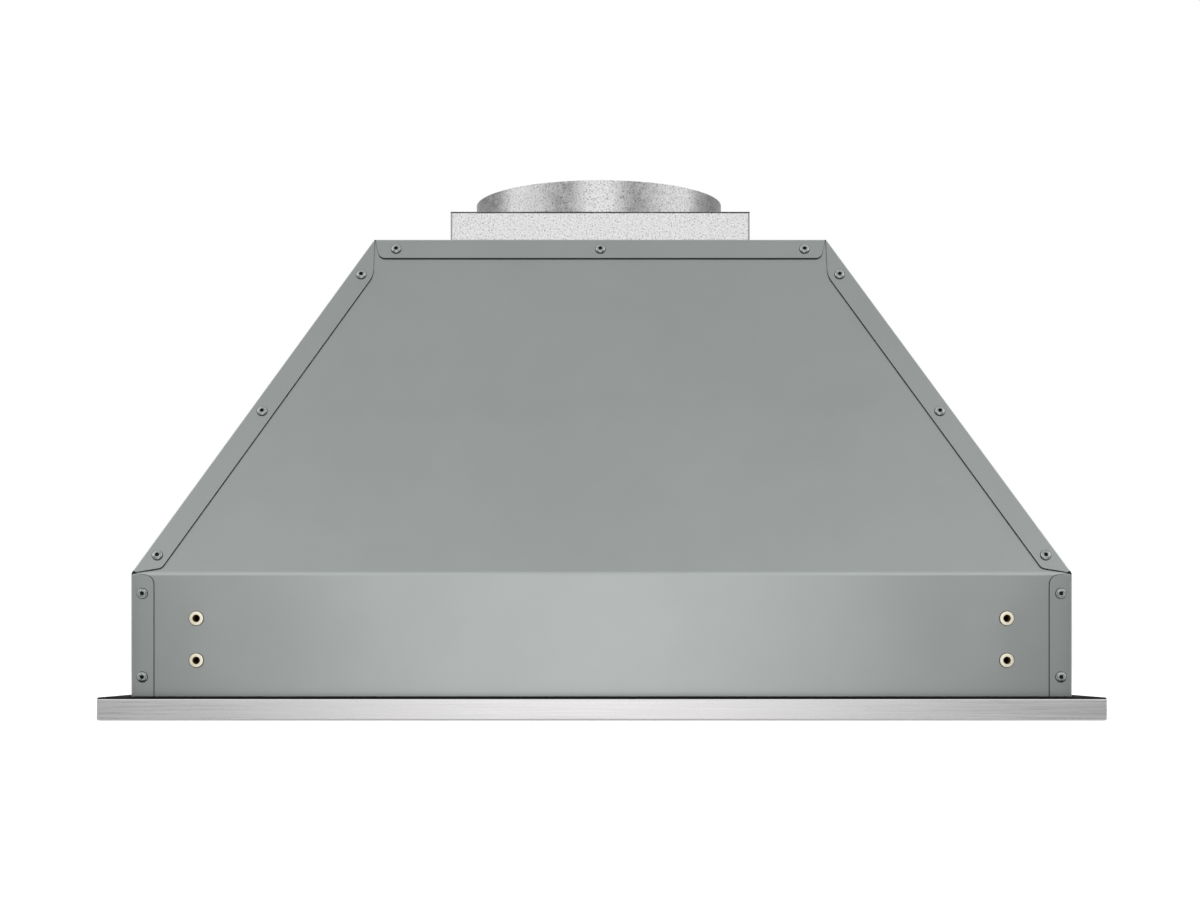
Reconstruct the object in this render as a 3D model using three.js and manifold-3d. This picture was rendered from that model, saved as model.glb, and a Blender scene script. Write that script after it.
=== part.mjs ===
// Range hood insert: a sheet-metal body on a brushed bottom flange, with a galvanised duct
// transition on top, a centrifugal blower inside, and filters, lamps and push buttons underneath.
// Millimetres, +Z up, front towards -Y, origin under the middle of the bottom flange.
import * as THREE from "three";
import { mergeVertices } from "three/addons/utils/BufferGeometryUtils.js";
import Module from "manifold-3d";

const wasm = await Module();
wasm.setup();

// ---------------------------------------------------------------- driving dimensions

const seam = 0.3; // between pieces that seat on, or fit into, each other
const overrun = 10; // how far a cutting solid runs past what it cuts

// bottom flange
const flangeWidth = 711.2;
const flangeDepth = 489;
const lipHeight = 15.9;
const flangeSheet = 1.2;
const faceWidth = 50; // the brushed face round the intake
const returnWidth = 36; // the ledge on top, which carries the body
const seatDrop = 0.3; // the ledge steps down where the body stands
const upstandHeight = 20;

// body
const bodyInset = 20; // from the flange's edge to the body's wall
const bodySheet = 1;
const skirtHeight = 88.6; // the upright part
const slopeHeight = 257.7; // the leaning part
const roofWidth = 344;
const roofDepth = 250;
const footWidth = 13;
const roofTabWidth = 13;

// overlapping strips and their fasteners
const stripWidth = 16;
const roofStripHeight = 15.2;
const stripCorner = 5;
const endRelief = 0.4; // bare sheet between two strips where they meet at a bend
const skirtStripFall = 1.8;
const slopeStripRise = 3.9;
const roofStripSlant = 3.6;
const rivetHeadRadius = 4;
const rivetHeadHeight = 1.2;
const rivetShankRadius = 2;
const rivetBulbRadius = 2.9;
const rivetBulbLength = 4;
const rivetHoleRadius = 1.3; // left by the pulled mandrel
const rivetSides = 8;
const nutSides = 12;
const skirtRivetEdge = 14.5; // from each end of the upright strip
const slopeRivetLow = 13; // above the bend
const slopeRivetHigh = 28.6; // below the roof
const roofRivetInset = 17;
const roofRivetDrop = 7.8;
const nutFlangeRadius = 5;
const nutFlangeThickness = 0.8;
const nutBarrelRadius = 3.8;
const nutBoreRadius = 2.4;
const nutLength = 12;
const nutBulge = 2;
const nutInset = 46.3; // from the body's side
const nutRise = 26.3; // above the flange
const nutPitch = 30;

// duct transition, collar and backdraft damper
const galvanisedSheet = 1;
const boxWidth = 229;
const boxDepth = 229;
const boxHeight = 23.1;
const boxFootWidth = 12;
const collarRadius = 100;
const collarRise = 27.6; // above the box
const collarDrop = 14; // inside the box
const collarFlange = 7;
const collarSides = 48;
const damperAxleRadius = 2;
const axleSides = 12;
const damperAxleDrop = 7.5; // below the top of the box
const damperAxleOverhang = 3;
const flapSheet = 1;
const flapRimGap = 1;
const flapHingeGap = 4; // from the axle's middle to a flap's straight edge
const knuckleWall = 1.2;
const knuckleLength = 14;
const knuckleSpots = [-58, 34]; // for the front flap; the rear flap's are mirrored
const flapStopWidth = 8;
const flapStopReach = 5;

// blower
const scrollSheet = 1;
const scrollWidth = 124;
const scrollMinRadius = 80;
const scrollMaxRadius = 118;
const tongueAngle = 65; // degrees, where the scroll starts
const scrollSteps = 24;
const shaftOffset = -45; // the shaft, in front of the middle
const shaftDrop = 126; // the shaft, below the roof
const outletTabWidth = 12;
const inletRadius = 60;
const inletLip = 4.5;
const impellerRadius = 72;
const impellerWidth = 108;
const bladeDepth = 12;
const bladeCount = 18;
const bladeThickness = 1.2;
const bladeLean = 4.5; // how far a blade's tip leads its root
const impellerSheet = 2;
const hubRadius = 11;
const hubLength = 16;
const shaftRadius = 4;
const shaftEnd = 2; // past the hub
const shaftSides = 16;
const motorRadius = 40;
const motorLength = 74;
const motorGap = 5; // from the impeller's disc to the motor
const motorRimRadius = 45;
const motorRimThickness = 2;
const roundSides = 24; // of the inlets and the motor
const shaftSocket = 14; // how far the shaft runs into the motor
const bracketSheet = 2;
const bracketRoot = 2; // how far each arm runs into the motor's collar
const bracketReach = 9; // how far each arm lies on the scroll's side
const bracketArmWidth = 12;
const capacitorSize = { width: 18, length: 47, height: 24 };
const capacitorEar = { thickness: 2, length: 9, width: 10 };
const capacitorDrop = 85; // below the shaft

// wiring box and cable gland
const junctionSheet = 1;
const junctionSize = { width: 44, depth: 78, height: 34 };
const junctionSpotY = 10; // behind the middle
const junctionLip = 6;
const glandBore = 5.5;
const glandShankRadius = 8;
const glandFlangeRadius = 12.5;
const glandFlangeHeight = 5;
const glandDomeHeight = 9;
const glandDomeStep = 2; // from the flange's edge in to the dome
const glandNutHeight = 4;
const glandEnd = 2; // of the shank, past the nut
const glandSides = 16;

// liner and sloping fascia
const linerSheet = 1;
const linerTop = 50;
const ledgeWidth = 10;
const hingeLead = 1; // the filters turn just in front of the ledge's edge
const fasciaSheet = 1;
const fasciaDepth = 88;
const fasciaRise = 22;
const fasciaLip = 14;
const fasciaBack = 28; // upright flange in front of the filters
const fasciaStart = 2.4; // lowest edge above the floor

// lamps, buttons and their board, on the fascia
const lampInset = 100; // from the fascia's end
const lampTubeRadius = 29;
const lampTubeWall = 2;
const lampRimRadius = 34;
const lampRimThickness = 2;
const lampRimChamfer = 1;
const lampLipThickness = 1.6; // in front of the lens
const lampMouthRadius = 24.5;
const lampDepth = 16;
const lensThickness = 2.5;
const lampSides = 24;
const buttonNames = ["light", "off", "low", "medium", "high"];
const buttonPitch = 23;
const buttonRadius = 7;
const buttonRimRadius = 8.4;
const buttonRimThickness = 1.5;
const buttonProud = 1.6;
const buttonChamfer = 0.7;
const buttonStemRadius = 3;
const buttonStemLength = 4.5;
const buttonTravel = 1.5;
const buttonSides = 12;
const bezelThickness = 2;
const bezelBorder = 4.5; // overlap on the fascia
const bezelFrameWall = 1.2;
const bezelFrameHeight = 4;
const boardThickness = 1.6;
const boardMargin = 7;
const switchBody = 6;
const switchHeight = 3.5;
const plungerRadius = 1.5;
const plungerLength = 1;
const spacerRadius = 3;

// filters
const filterLevel = 30; // underside above the floor
const filterHeight = 18;
const filterSheet = 1;
const filterRim = 12;
const filterMiddleGap = 4; // between the two filters
const filterSideGap = 1.5;
const filterRearGap = 1.5;
const catchSpace = 5; // between the fascia and a filter
const lowerBaffles = 7;
const baffleSheet = 0.8;
const baffleWidth = 28;
const baffleLeg = 8.5;
const handleSpan = 64;
const handleDrop = 18;
const handleWireRadius = 2;
const handleBend = 8;
const handleSteps = 22;
const handleFootWidth = 14;
const handleFootDepth = 9;
const handleInset = 7.5; // behind the filter's front edge
const catchWidth = 36;
const catchSheet = 0.8;
const catchBite = 3; // how far a catch reaches under its filter

// ---------------------------------------------------------------- derived places

const bendZ = lipHeight + skirtHeight;
const roofZ = bendZ + slopeHeight;
const bodyHalfWidth = flangeWidth / 2 - bodyInset;
const bodyHalfDepth = flangeDepth / 2 - bodyInset;
const roofHalfWidth = roofWidth / 2;
const roofHalfDepth = roofDepth / 2;
const footZ = lipHeight - seatDrop + seam;
const underRoofZ = roofZ - bodySheet - seam;
const innerSkin = bodySheet + seam; // the front and rear panels lie behind the strips
const boxZ = roofZ + seam;
const boxTopZ = boxZ + boxHeight;
const openHalfWidth = flangeWidth / 2 - faceWidth;
const openHalfDepth = flangeDepth / 2 - faceWidth;
const linerHalfWidth = openHalfWidth - seam;
const linerHalfDepth = openHalfDepth - seam;
const bayHalfWidth = linerHalfWidth - linerSheet;
const bayRearY = linerHalfDepth - linerSheet;
const fasciaFrontY = -(openHalfDepth - seam);
const fasciaRearY = fasciaFrontY + fasciaDepth;
const fasciaAngle = Math.atan2(fasciaRise, fasciaDepth);
const fasciaHalfWidth = bayHalfWidth - seam;
const ledgeY = bayRearY - ledgeWidth;
const hingeY = ledgeY - hingeLead;

// ---------------------------------------------------------------- finishes

const finish = (color, roughness, metalness) =>
  new THREE.MeshStandardMaterial({ color, roughness, metalness });
const brushedSteel = finish(0xc9cacb, 0.32, 1);
const bodySteel = finish(0x969b98, 0.42, 0.9);
const galvanised = finish(0xd9dadb, 0.45, 0.9);
const rivetSteel = finish(0xb4b8b6, 0.35, 1);
const yellowZinc = finish(0xd8bf78, 0.3, 1);
const baffleSteel = finish(0xc2c4c5, 0.28, 1);
const castAluminium = finish(0xb8babb, 0.5, 0.9);
const blackPlastic = finish(0x26282a, 0.55, 0);
const greyPlastic = finish(0x8b8f92, 0.5, 0);
const opalGlass = finish(0xeef0ee, 0.25, 0);
const boardGreen = finish(0x2f6b46, 0.5, 0);
const springSteel = finish(0xa9adb0, 0.3, 1);

// ---------------------------------------------------------------- solids

// A closed three.js geometry as a solid that can be joined and cut
function solid(geometry) {
  const bare = new THREE.BufferGeometry();
  bare.setAttribute("position", geometry.getAttribute("position"));
  bare.setIndex(geometry.index);
  const merged = mergeVertices(bare, 1e-4);
  const faces = [];
  for (let i = 0; i < merged.index.count; i += 3) {
    const [a, b, c] = merged.index.array.slice(i, i + 3);
    if (a !== b && b !== c && c !== a) faces.push(a, b, c);
  }
  const vertProperties = merged.attributes.position.array;
  const triVerts = new Uint32Array(faces);
  return new wasm.Manifold(new wasm.Mesh({ numProp: 3, vertProperties, triVerts }));
}

function geometryOf(part) {
  const mesh = part.getMesh();
  const geometry = new THREE.BufferGeometry();
  geometry.setAttribute("position", new THREE.BufferAttribute(mesh.vertProperties, 3));
  geometry.setIndex(new THREE.BufferAttribute(mesh.triVerts, 1));
  const faceted = geometry.toNonIndexed();
  faceted.computeVertexNormals();
  return faceted;
}

const join = (first, ...others) => others.reduce((sum, part) => sum.add(part), first);
const cut = (first, ...others) => others.reduce((rest, part) => rest.subtract(part), first);
const common = (first, ...others) => others.reduce((both, part) => both.intersect(part), first);

// A closed outline; a point may carry a third number, how far its corner is rounded off
function outline(points) {
  const shape = new THREE.Shape();
  points.forEach(([x, y, rounding = 0], i) => {
    const corner = new THREE.Vector2(x, y);
    const towards = (other) => {
      const end = new THREE.Vector2(other[0], other[1]);
      return corner.clone().lerp(end, rounding / corner.distanceTo(end));
    };
    const start = towards(points.at(i - 1));
    if (i === 0) shape.moveTo(start.x, start.y);
    else shape.lineTo(start.x, start.y);
    if (rounding > 0) {
      const end = towards(points[(i + 1) % points.length]);
      shape.quadraticCurveTo(x, y, end.x, end.y);
    }
  });
  return shape;
}

const rectangle = (x0, x1, y0, y1) => [
  [x0, y0],
  [x1, y0],
  [x1, y1],
  [x0, y1],
];

// The section of a sheet whose one face follows the path and whose thickness lies to its left
function sheetSection(path, thickness) {
  const points = path.map(([x, y]) => new THREE.Vector2(x, y));
  const normals = points.slice(1).map((end, i) => {
    const along = end.clone().sub(points[i]).normalize();
    return new THREE.Vector2(-along.y, along.x);
  });
  const offset = points.map((point, i) => {
    const before = normals[Math.max(i - 1, 0)];
    const after = normals[Math.min(i, normals.length - 1)];
    const mitre = before.clone().add(after);
    return point.clone().addScaledVector(mitre, (2 * thickness) / mitre.lengthSq());
  });
  return [...path, ...offset.reverse().map(({ x, y }) => [x, y])];
}

// Section axes and extrusion direction of a prism along X, Y or Z
const prismBasis = {
  x: [new THREE.Vector3(0, 1, 0), new THREE.Vector3(0, 0, 1), new THREE.Vector3(1, 0, 0)],
  y: [new THREE.Vector3(1, 0, 0), new THREE.Vector3(0, 0, 1), new THREE.Vector3(0, -1, 0)],
  z: [new THREE.Vector3(1, 0, 0), new THREE.Vector3(0, 1, 0), new THREE.Vector3(0, 0, 1)],
};

// A shape extruded along an axis, centred on middle; its own axes are the other two, in X, Y, Z order
function prism(shape, axis, length, middle = 0, curveSegments = 3) {
  const options = { depth: length, bevelEnabled: false, curveSegments };
  const geometry = new THREE.ExtrudeGeometry(shape, options);
  const sign = axis === "y" ? -1 : 1;
  geometry.translate(0, 0, sign * middle - length / 2);
  geometry.applyMatrix4(new THREE.Matrix4().makeBasis(...prismBasis[axis]));
  return solid(geometry);
}

function block(x0, x1, y0, y1, z0, z1) {
  const geometry = new THREE.BoxGeometry(x1 - x0, y1 - y0, z1 - z0);
  geometry.translate((x0 + x1) / 2, (y0 + y1) / 2, (z0 + z1) / 2);
  return solid(geometry);
}

// Points [radius, height] that go round a closed section, turned about Z
function turned(profile, sides) {
  const points = [...profile, profile[0]].map(([radius, z]) => new THREE.Vector2(radius, z));
  const geometry = new THREE.LatheGeometry(points, sides);
  geometry.rotateX(Math.PI / 2);
  return solid(geometry);
}

const disc = (radius, z0, z1, sides) =>
  turned(
    [
      [0, z0],
      [radius, z0],
      [radius, z1],
      [0, z1],
    ],
    sides,
  );

const tube = (inner, outer, z0, z1, sides) =>
  turned(
    [
      [inner, z0],
      [outer, z0],
      [outer, z1],
      [inner, z1],
    ],
    sides,
  );

// The same solid with its Z axis turned to +X
function alongX(part) {
  const geometry = geometryOf(part);
  geometry.rotateY(Math.PI / 2);
  return solid(geometry);
}

function moved(part, x, y, z, tilt = 0) {
  const geometry = geometryOf(part);
  geometry.rotateX(tilt);
  geometry.translate(x, y, z);
  return solid(geometry);
}

// A rectangular ring of the given width inside half sizes, between two heights
function ring(halfX, halfY, width, z0, z1) {
  const shape = outline(rectangle(-halfX, halfX, -halfY, halfY));
  shape.holes.push(outline(rectangle(width - halfX, halfX - width, width - halfY, halfY - width)));
  return prism(shape, "z", z1 - z0, (z0 + z1) / 2);
}

// Two distances from the middle on one side, as coordinates in rising order
const span = (side, near, far) => [side * near, side * far].sort((a, b) => a - b);

const insert = new THREE.Group();

function piece(name, part, material, parent = insert) {
  const mesh = new THREE.Mesh(geometryOf(part), material);
  mesh.name = name;
  parent.add(mesh);
  return mesh;
}

// ---------------------------------------------------------------- bottom flange

function bottomFlange() {
  const halfX = flangeWidth / 2;
  const halfY = flangeDepth / 2;
  const innerX = openHalfWidth + flangeSheet;
  const innerY = openHalfDepth + flangeSheet;
  return join(
    ring(halfX, halfY, faceWidth, 0, flangeSheet),
    ring(halfX, halfY, flangeSheet, 0, lipHeight),
    ring(halfX, halfY, bodyInset - seam, lipHeight - flangeSheet, lipHeight),
    ring(halfX, halfY, returnWidth, lipHeight - flangeSheet, lipHeight - seatDrop),
    ring(innerX, innerY, flangeSheet, 0, upstandHeight),
  );
}

piece("bottom_flange", bottomFlange(), brushedSteel);

// ---------------------------------------------------------------- body

// A wall is upright up to the bend and then leans in to the roof. These give a face of it that
// lies inset behind the outer one: how far from the middle it is at a height, and where it bends.
const width = { base: bodyHalfWidth, roof: roofHalfWidth };
const depth = { base: bodyHalfDepth, roof: roofHalfDepth };
const leanOf = ({ base, roof }) => Math.atan((base - roof) / slopeHeight);
const bendOf = (wall, inset) => bendZ - inset * Math.tan(leanOf(wall) / 2);

function leaningFace(wall, inset, z) {
  const lean = leanOf(wall);
  return wall.base - inset / Math.cos(lean) - (z - bendZ) * Math.tan(lean);
}

const faceOf = (wall, inset, z) => Math.min(wall.base - inset, leaningFace(wall, inset, z));

function faceLine(wall, inset, z0, z1) {
  return [z0, bendOf(wall, inset), z1].map((z) => [faceOf(wall, inset, z), z]);
}

// One sheet of a wall on the given side, and the whole body's section
function wallSection(wall, side, outer, inner, z0, z1) {
  const points = [...faceLine(wall, outer, z0, z1), ...faceLine(wall, inner, z0, z1).reverse()];
  return outline(points.map(([u, z]) => [side * u, z]));
}

function bodySection(wall, inset, z0, z1) {
  const line = faceLine(wall, inset, z0, z1);
  return outline([...line, ...line.map(([u, z]) => [-u, z]).reverse()]);
}

// A flat tab that turns in from a leaning or upright wall, with its outer edge in the sheet's middle
function tabReach(wall, outer, z0, z1) {
  const outside = faceOf(wall, outer, z1);
  const inside = faceOf(wall, outer + bodySheet, z0);
  return (outside + inside) / 2;
}

const roofTabZ = underRoofZ - bodySheet;
const frontHeights = [footZ, underRoofZ];
const overHeights = [footZ - overrun, roofZ + overrun];

// The cable gland stands midway between the duct box and the side panel's tab, and the wiring
// box below it reaches up to that tab
const roofTabEdge = tabReach(width, 0, roofTabZ, underRoofZ) - roofTabWidth;
const glandX = (boxWidth / 2 + roofTabEdge) / 2;
const junctionX = roofTabEdge - seam - junctionSize.width / 2;

// Rivet spots on the front face: across, up, and the tilt that turns +Z to the face's outward side
const rivetTilt = (z) => Math.PI / 2 - (z > bendZ ? leanOf(depth) : 0);
const onFront = (x, z) => ({ x, y: -faceOf(depth, 0, z), z, tilt: rivetTilt(z) });

function sideRivets(side) {
  const half = stripWidth / 2;
  const middle = (slopeRivetLow + slopeHeight - slopeRivetHigh) / 2;
  const upright = [lipHeight + skirtRivetEdge, bendZ - skirtRivetEdge];
  const leaning = [slopeRivetLow, middle, slopeHeight - slopeRivetHigh].map((rise) => bendZ + rise);
  return [...upright, ...leaning].map((z) => onFront(side * faceOf(width, half, z), z));
}

const roofRivets = [-1, 0, 1].map((place) =>
  onFront(place * (roofHalfWidth - roofRivetInset), roofZ - roofRivetDrop),
);
const rivetSpots = { left: sideRivets(-1), right: sideRivets(1), roof: roofRivets };

const clearHole = (spot, radius, length, sides = rivetSides) =>
  moved(disc(radius, -length, length, sides), spot.x, spot.y, spot.z, spot.tilt);
const rivetHoles = (spots) =>
  spots.map((spot) => clearHole(spot, rivetShankRadius + seam, 3 * innerSkin));

// On the rear face the same rivets have only heads, joined to the strip that they hold
const rivetDome = disc(rivetHeadRadius, -bodySheet / 2, rivetHeadHeight / 2, rivetSides);
const rearHeads = (spots) =>
  spots.map(({ x, y, z, tilt }) => moved(rivetDome, x, -y, z, -tilt));

// Outlines of the strips in front view, on the right side
function skirtStrip() {
  const inner = bodyHalfWidth - stripWidth;
  return [
    [flangeWidth / 2, footZ],
    [inner, footZ],
    [inner, bendZ - skirtStripFall, stripCorner],
    [bodyHalfWidth - bodySheet, bendZ - endRelief],
    [flangeWidth / 2, bendZ - endRelief],
  ];
}

function slopeStrip() {
  const lean = leanOf(width);
  const cutX = roofHalfWidth - endRelief;
  const lowZ = bendZ + slopeStripRise;
  const highZ = bendZ + (bodyHalfWidth - stripWidth / Math.cos(lean) - cutX) / Math.tan(lean);
  return [
    [flangeWidth / 2, bendZ + endRelief],
    [bodyHalfWidth - bodySheet, bendZ + endRelief],
    [leaningFace(width, stripWidth, lowZ), lowZ, stripCorner / 2],
    [cutX, highZ, stripCorner],
    [cutX, roofZ],
    [flangeWidth / 2, roofZ],
  ];
}

function roofStrip() {
  const end = roofHalfWidth - 2 * endRelief;
  const lowZ = roofZ - roofStripHeight;
  const right = [
    [end, roofZ],
    [end - roofStripSlant, lowZ, stripCorner],
  ];
  return [...right, ...right.map(([x, z, rounding]) => [-x, z, rounding]).reverse()];
}

const bodySolid = (inset, z0, z1) =>
  common(
    prism(bodySection(width, inset, z0, z1), "y", flangeDepth),
    prism(bodySection(depth, inset, z0, z1), "x", flangeWidth),
  );

// The outermost sheet all round, open above and below
const outerShell = (z1) => cut(bodySolid(0, footZ, z1), bodySolid(bodySheet, ...overHeights));

function sidePanel(side, spots) {
  const inFront = (shape) => prism(shape, "y", flangeDepth);
  const onSide = (points) => outline(points.map(([x, z, rounding]) => [side * x, z, rounding]));
  const wall = inFront(wallSection(width, side, -overrun, bodySheet + endRelief, ...overHeights));
  const places = join(wall, inFront(onSide(skirtStrip())), inFront(onSide(slopeStrip())));
  const sheet = common(outerShell(underRoofZ), places);
  const tab = (reach, length, halfY, z) => {
    return block(...span(side, reach - length, reach), -halfY, halfY, z, z + bodySheet);
  };
  const clear = innerSkin + bodySheet + seam;
  const footReach = tabReach(width, 0, footZ, footZ + bodySheet);
  const roofReach = tabReach(width, 0, roofTabZ, underRoofZ);
  const foot = tab(footReach, footWidth, faceOf(depth, clear, footZ), footZ);
  const roofTab = tab(roofReach, roofTabWidth, faceOf(depth, clear, underRoofZ), roofTabZ);
  return cut(join(sheet, foot, roofTab, ...rearHeads(spots)), ...rivetHoles(spots));
}

// The front or rear panel, behind the strips
function facePanel(side) {
  const inner = innerSkin + bodySheet;
  const section = wallSection(depth, side, innerSkin, inner, ...frontHeights);
  const between = prism(bodySection(width, innerSkin, ...frontHeights), "y", flangeDepth);
  const sheet = common(prism(section, "x", flangeWidth), between);
  const tab = (reach, length, halfX, z) => {
    return block(-halfX, halfX, ...span(side, reach - length, reach), z, z + bodySheet);
  };
  const footReach = tabReach(depth, innerSkin, footZ, footZ + bodySheet);
  const roofReach = tabReach(depth, innerSkin, roofTabZ, underRoofZ);
  const footHalf = tabReach(width, 0, footZ, footZ + bodySheet) - footWidth - seam;
  const roofHalf = tabReach(width, 0, roofTabZ, underRoofZ) - roofTabWidth - seam;
  const foot = tab(footReach, footWidth, footHalf, footZ);
  const roofTab = tab(roofReach, roofTabWidth, roofHalf, roofTabZ);
  return join(sheet, foot, roofTab);
}

const nutSpots = [-1, 1].flatMap((side) =>
  [0, nutPitch].map((rise) => ({
    x: side * (bodyHalfWidth - nutInset),
    y: -(bodyHalfDepth - innerSkin),
    z: lipHeight + nutRise + rise,
    tilt: Math.PI / 2,
  })),
);

// The blower's outlet, which the roof and the scroll share
const outlet = {
  y0: shaftOffset + scrollMinRadius * Math.cos(THREE.MathUtils.degToRad(tongueAngle)),
  y1: shaftOffset + scrollMaxRadius,
  halfX: scrollWidth / 2,
};

function roofPanel() {
  const { halfX, y0, y1 } = outlet;
  const plateZ = roofZ - bodySheet;
  const plate = block(-roofHalfWidth, roofHalfWidth, -roofHalfDepth, roofHalfDepth, plateZ, roofZ);
  const strip = common(outerShell(roofZ), prism(outline(roofStrip()), "y", flangeDepth));
  const opening = block(-halfX, halfX, y0, y1, plateZ - bodySheet, roofZ + bodySheet);
  const glandHole = disc(glandShankRadius + seam, plateZ - bodySheet, roofZ + bodySheet, glandSides);
  return cut(
    join(plate, strip, ...rearHeads(roofRivets)),
    opening,
    moved(glandHole, glandX, junctionSpotY, 0),
    ...rivetHoles(roofRivets),
  );
}

const frontRivetHoles = rivetHoles(Object.values(rivetSpots).flat());
const nutHoles = nutSpots.map((spot) => clearHole(spot, nutBarrelRadius + seam, 3 * innerSkin, nutSides));
piece("front_panel", cut(facePanel(-1), ...frontRivetHoles, ...nutHoles), bodySteel);
piece("rear_panel", facePanel(1), bodySteel);
piece("left_side_panel", sidePanel(-1, rivetSpots.left), bodySteel);
piece("right_side_panel", sidePanel(1, rivetSpots.right), bodySteel);
piece("roof_panel", roofPanel(), bodySteel);

// ---------------------------------------------------------------- rivets and rivet nuts

// A pulled blind rivet: domed head, mandrel hole, shank and the bulb behind both sheets
function blindRivet() {
  const grip = innerSkin + bodySheet + seam;
  return turned(
    [
      [0, -grip - rivetBulbLength],
      [rivetBulbRadius, -grip - rivetBulbLength],
      [rivetBulbRadius, -grip],
      [rivetShankRadius, -grip],
      [rivetShankRadius, seam],
      [rivetHeadRadius, seam],
      [rivetHeadRadius, seam + rivetHeadHeight / 3],
      [rivetHoleRadius, seam + rivetHeadHeight],
      [rivetHoleRadius, seam],
      [0, seam],
    ],
    rivetSides,
  );
}

// A set rivet nut: thin flange, threaded barrel and the bulge that grips the sheet from behind
function rivetNut() {
  const grip = bodySheet + seam;
  const bulge = nutBarrelRadius + nutFlangeThickness;
  return turned(
    [
      [nutBoreRadius, seam + nutFlangeThickness],
      [nutBoreRadius, -nutLength],
      [nutBarrelRadius, -nutLength],
      [bulge, -grip - nutBulge],
      [bulge, -grip],
      [nutBarrelRadius, -grip],
      [nutBarrelRadius, seam],
      [nutFlangeRadius, seam],
      [nutFlangeRadius, seam + nutFlangeThickness],
    ],
    nutSides,
  );
}

function fasten(name, part, spot, material) {
  const mesh = piece(name, part, material);
  mesh.position.set(spot.x, spot.y, spot.z);
  mesh.rotation.x = spot.tilt;
}

for (const [strip, spots] of Object.entries(rivetSpots))
  spots.forEach((spot, i) => fasten(`${strip}_strip_rivet_${i + 1}`, blindRivet(), spot, rivetSteel));
nutSpots.forEach((spot, i) => fasten(`rivet_nut_${i + 1}`, rivetNut(), spot, yellowZinc));

// ---------------------------------------------------------------- duct transition and damper

function transitionBox() {
  const halfX = boxWidth / 2;
  const halfY = boxDepth / 2;
  const top = outline(rectangle(-halfX, halfX, -halfY, halfY));
  const mouth = new THREE.Path().absarc(0, 0, collarRadius + seam, 0, 2 * Math.PI);
  top.holes.push(mouth);
  return join(
    ring(halfX, halfY, galvanisedSheet, 0, boxHeight),
    ring(halfX, halfY, boxFootWidth, 0, galvanisedSheet),
    prism(top, "z", galvanisedSheet, boxHeight - galvanisedSheet / 2, collarSides / 2),
  );
}

const axleZ = -damperAxleDrop; // from here to the flaps, heights are from the top of the box
const boreRadius = collarRadius - galvanisedSheet;
const stopTopZ = axleZ - flapSheet / 2 - seam;

function ductCollar() {
  const flangeTop = -galvanisedSheet - seam;
  const shell = turned(
    [
      [boreRadius, -collarDrop],
      [collarRadius, -collarDrop],
      [collarRadius, flangeTop - galvanisedSheet],
      [collarRadius + collarFlange, flangeTop - galvanisedSheet],
      [collarRadius + collarFlange, flangeTop],
      [collarRadius, flangeTop],
      [collarRadius, collarRise],
      [boreRadius, collarRise],
    ],
    collarSides,
  );
  const stops = [-1, 1].map((side) => {
    const ends = span(side, boreRadius - flapStopReach, boreRadius + galvanisedSheet / 2);
    const half = flapStopWidth / 2;
    return block(-half, half, ...ends, stopTopZ - galvanisedSheet, stopTopZ);
  });
  const drill = alongX(disc(damperAxleRadius + seam, -2 * collarRadius, 2 * collarRadius, axleSides));
  return cut(join(shell, ...stops), moved(drill, 0, 0, axleZ));
}

// A half disc that turns on the axle; side -1 is the front one
function damperFlap(side) {
  const radius = boreRadius - flapRimGap;
  const circle = disc(radius, -flapSheet / 2, flapSheet / 2, collarSides);
  const half = span(side, flapHingeGap, radius * 2);
  const plate = common(circle, block(-radius * 2, radius * 2, ...half, -flapSheet, flapSheet));
  const outer = damperAxleRadius + seam + knuckleWall;
  const knuckles = knuckleSpots.map((spot) => {
    const middle = -side * spot;
    const barrel = alongX(disc(outer, middle - knuckleLength / 2, middle + knuckleLength / 2, axleSides));
    const reach = span(side, outer - knuckleWall / 2, flapHingeGap + flapSheet);
    const x0 = middle - knuckleLength / 2;
    const tongue = block(x0, x0 + knuckleLength, ...reach, -flapSheet / 2, flapSheet / 2);
    return join(barrel, tongue);
  });
  const bore = alongX(disc(damperAxleRadius + seam, -collarRadius, collarRadius, axleSides));
  return cut(join(plate, ...knuckles), bore);
}

const damperAxle = alongX(
  disc(damperAxleRadius, -collarRadius - damperAxleOverhang, collarRadius + damperAxleOverhang, axleSides),
);

const duct = new THREE.Group();
duct.position.z = boxTopZ;
insert.add(duct);
piece("transition_box", transitionBox(), galvanised).position.z = boxZ;
piece("duct_collar", ductCollar(), galvanised, duct);
piece("damper_axle", damperAxle, springSteel, duct).position.z = axleZ;
piece("front_damper_flap", damperFlap(-1), galvanised, duct).position.z = axleZ;
piece("rear_damper_flap", damperFlap(1), galvanised, duct).position.z = axleZ;

// ---------------------------------------------------------------- blower

// The blower is built round its shaft: X along it, from the middle of the impeller
const outletTopZ = shaftDrop - bodySheet - seam;

function scrollOutline(grow, top) {
  const start = THREE.MathUtils.degToRad(tongueAngle);
  const tongueY = scrollMinRadius * Math.cos(start) - grow;
  const points = [[tongueY, Math.sqrt((scrollMinRadius + grow) ** 2 - tongueY ** 2)]];
  for (let i = 1; i <= scrollSteps; i++) {
    const share = i / scrollSteps;
    const angle = start + share * (2 * Math.PI - start);
    const radius = scrollMinRadius + share * (scrollMaxRadius - scrollMinRadius) + grow;
    points.push([radius * Math.cos(angle), radius * Math.sin(angle)]);
  }
  points.push([scrollMaxRadius + grow, top], [tongueY, top]);
  return outline(points);
}

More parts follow.
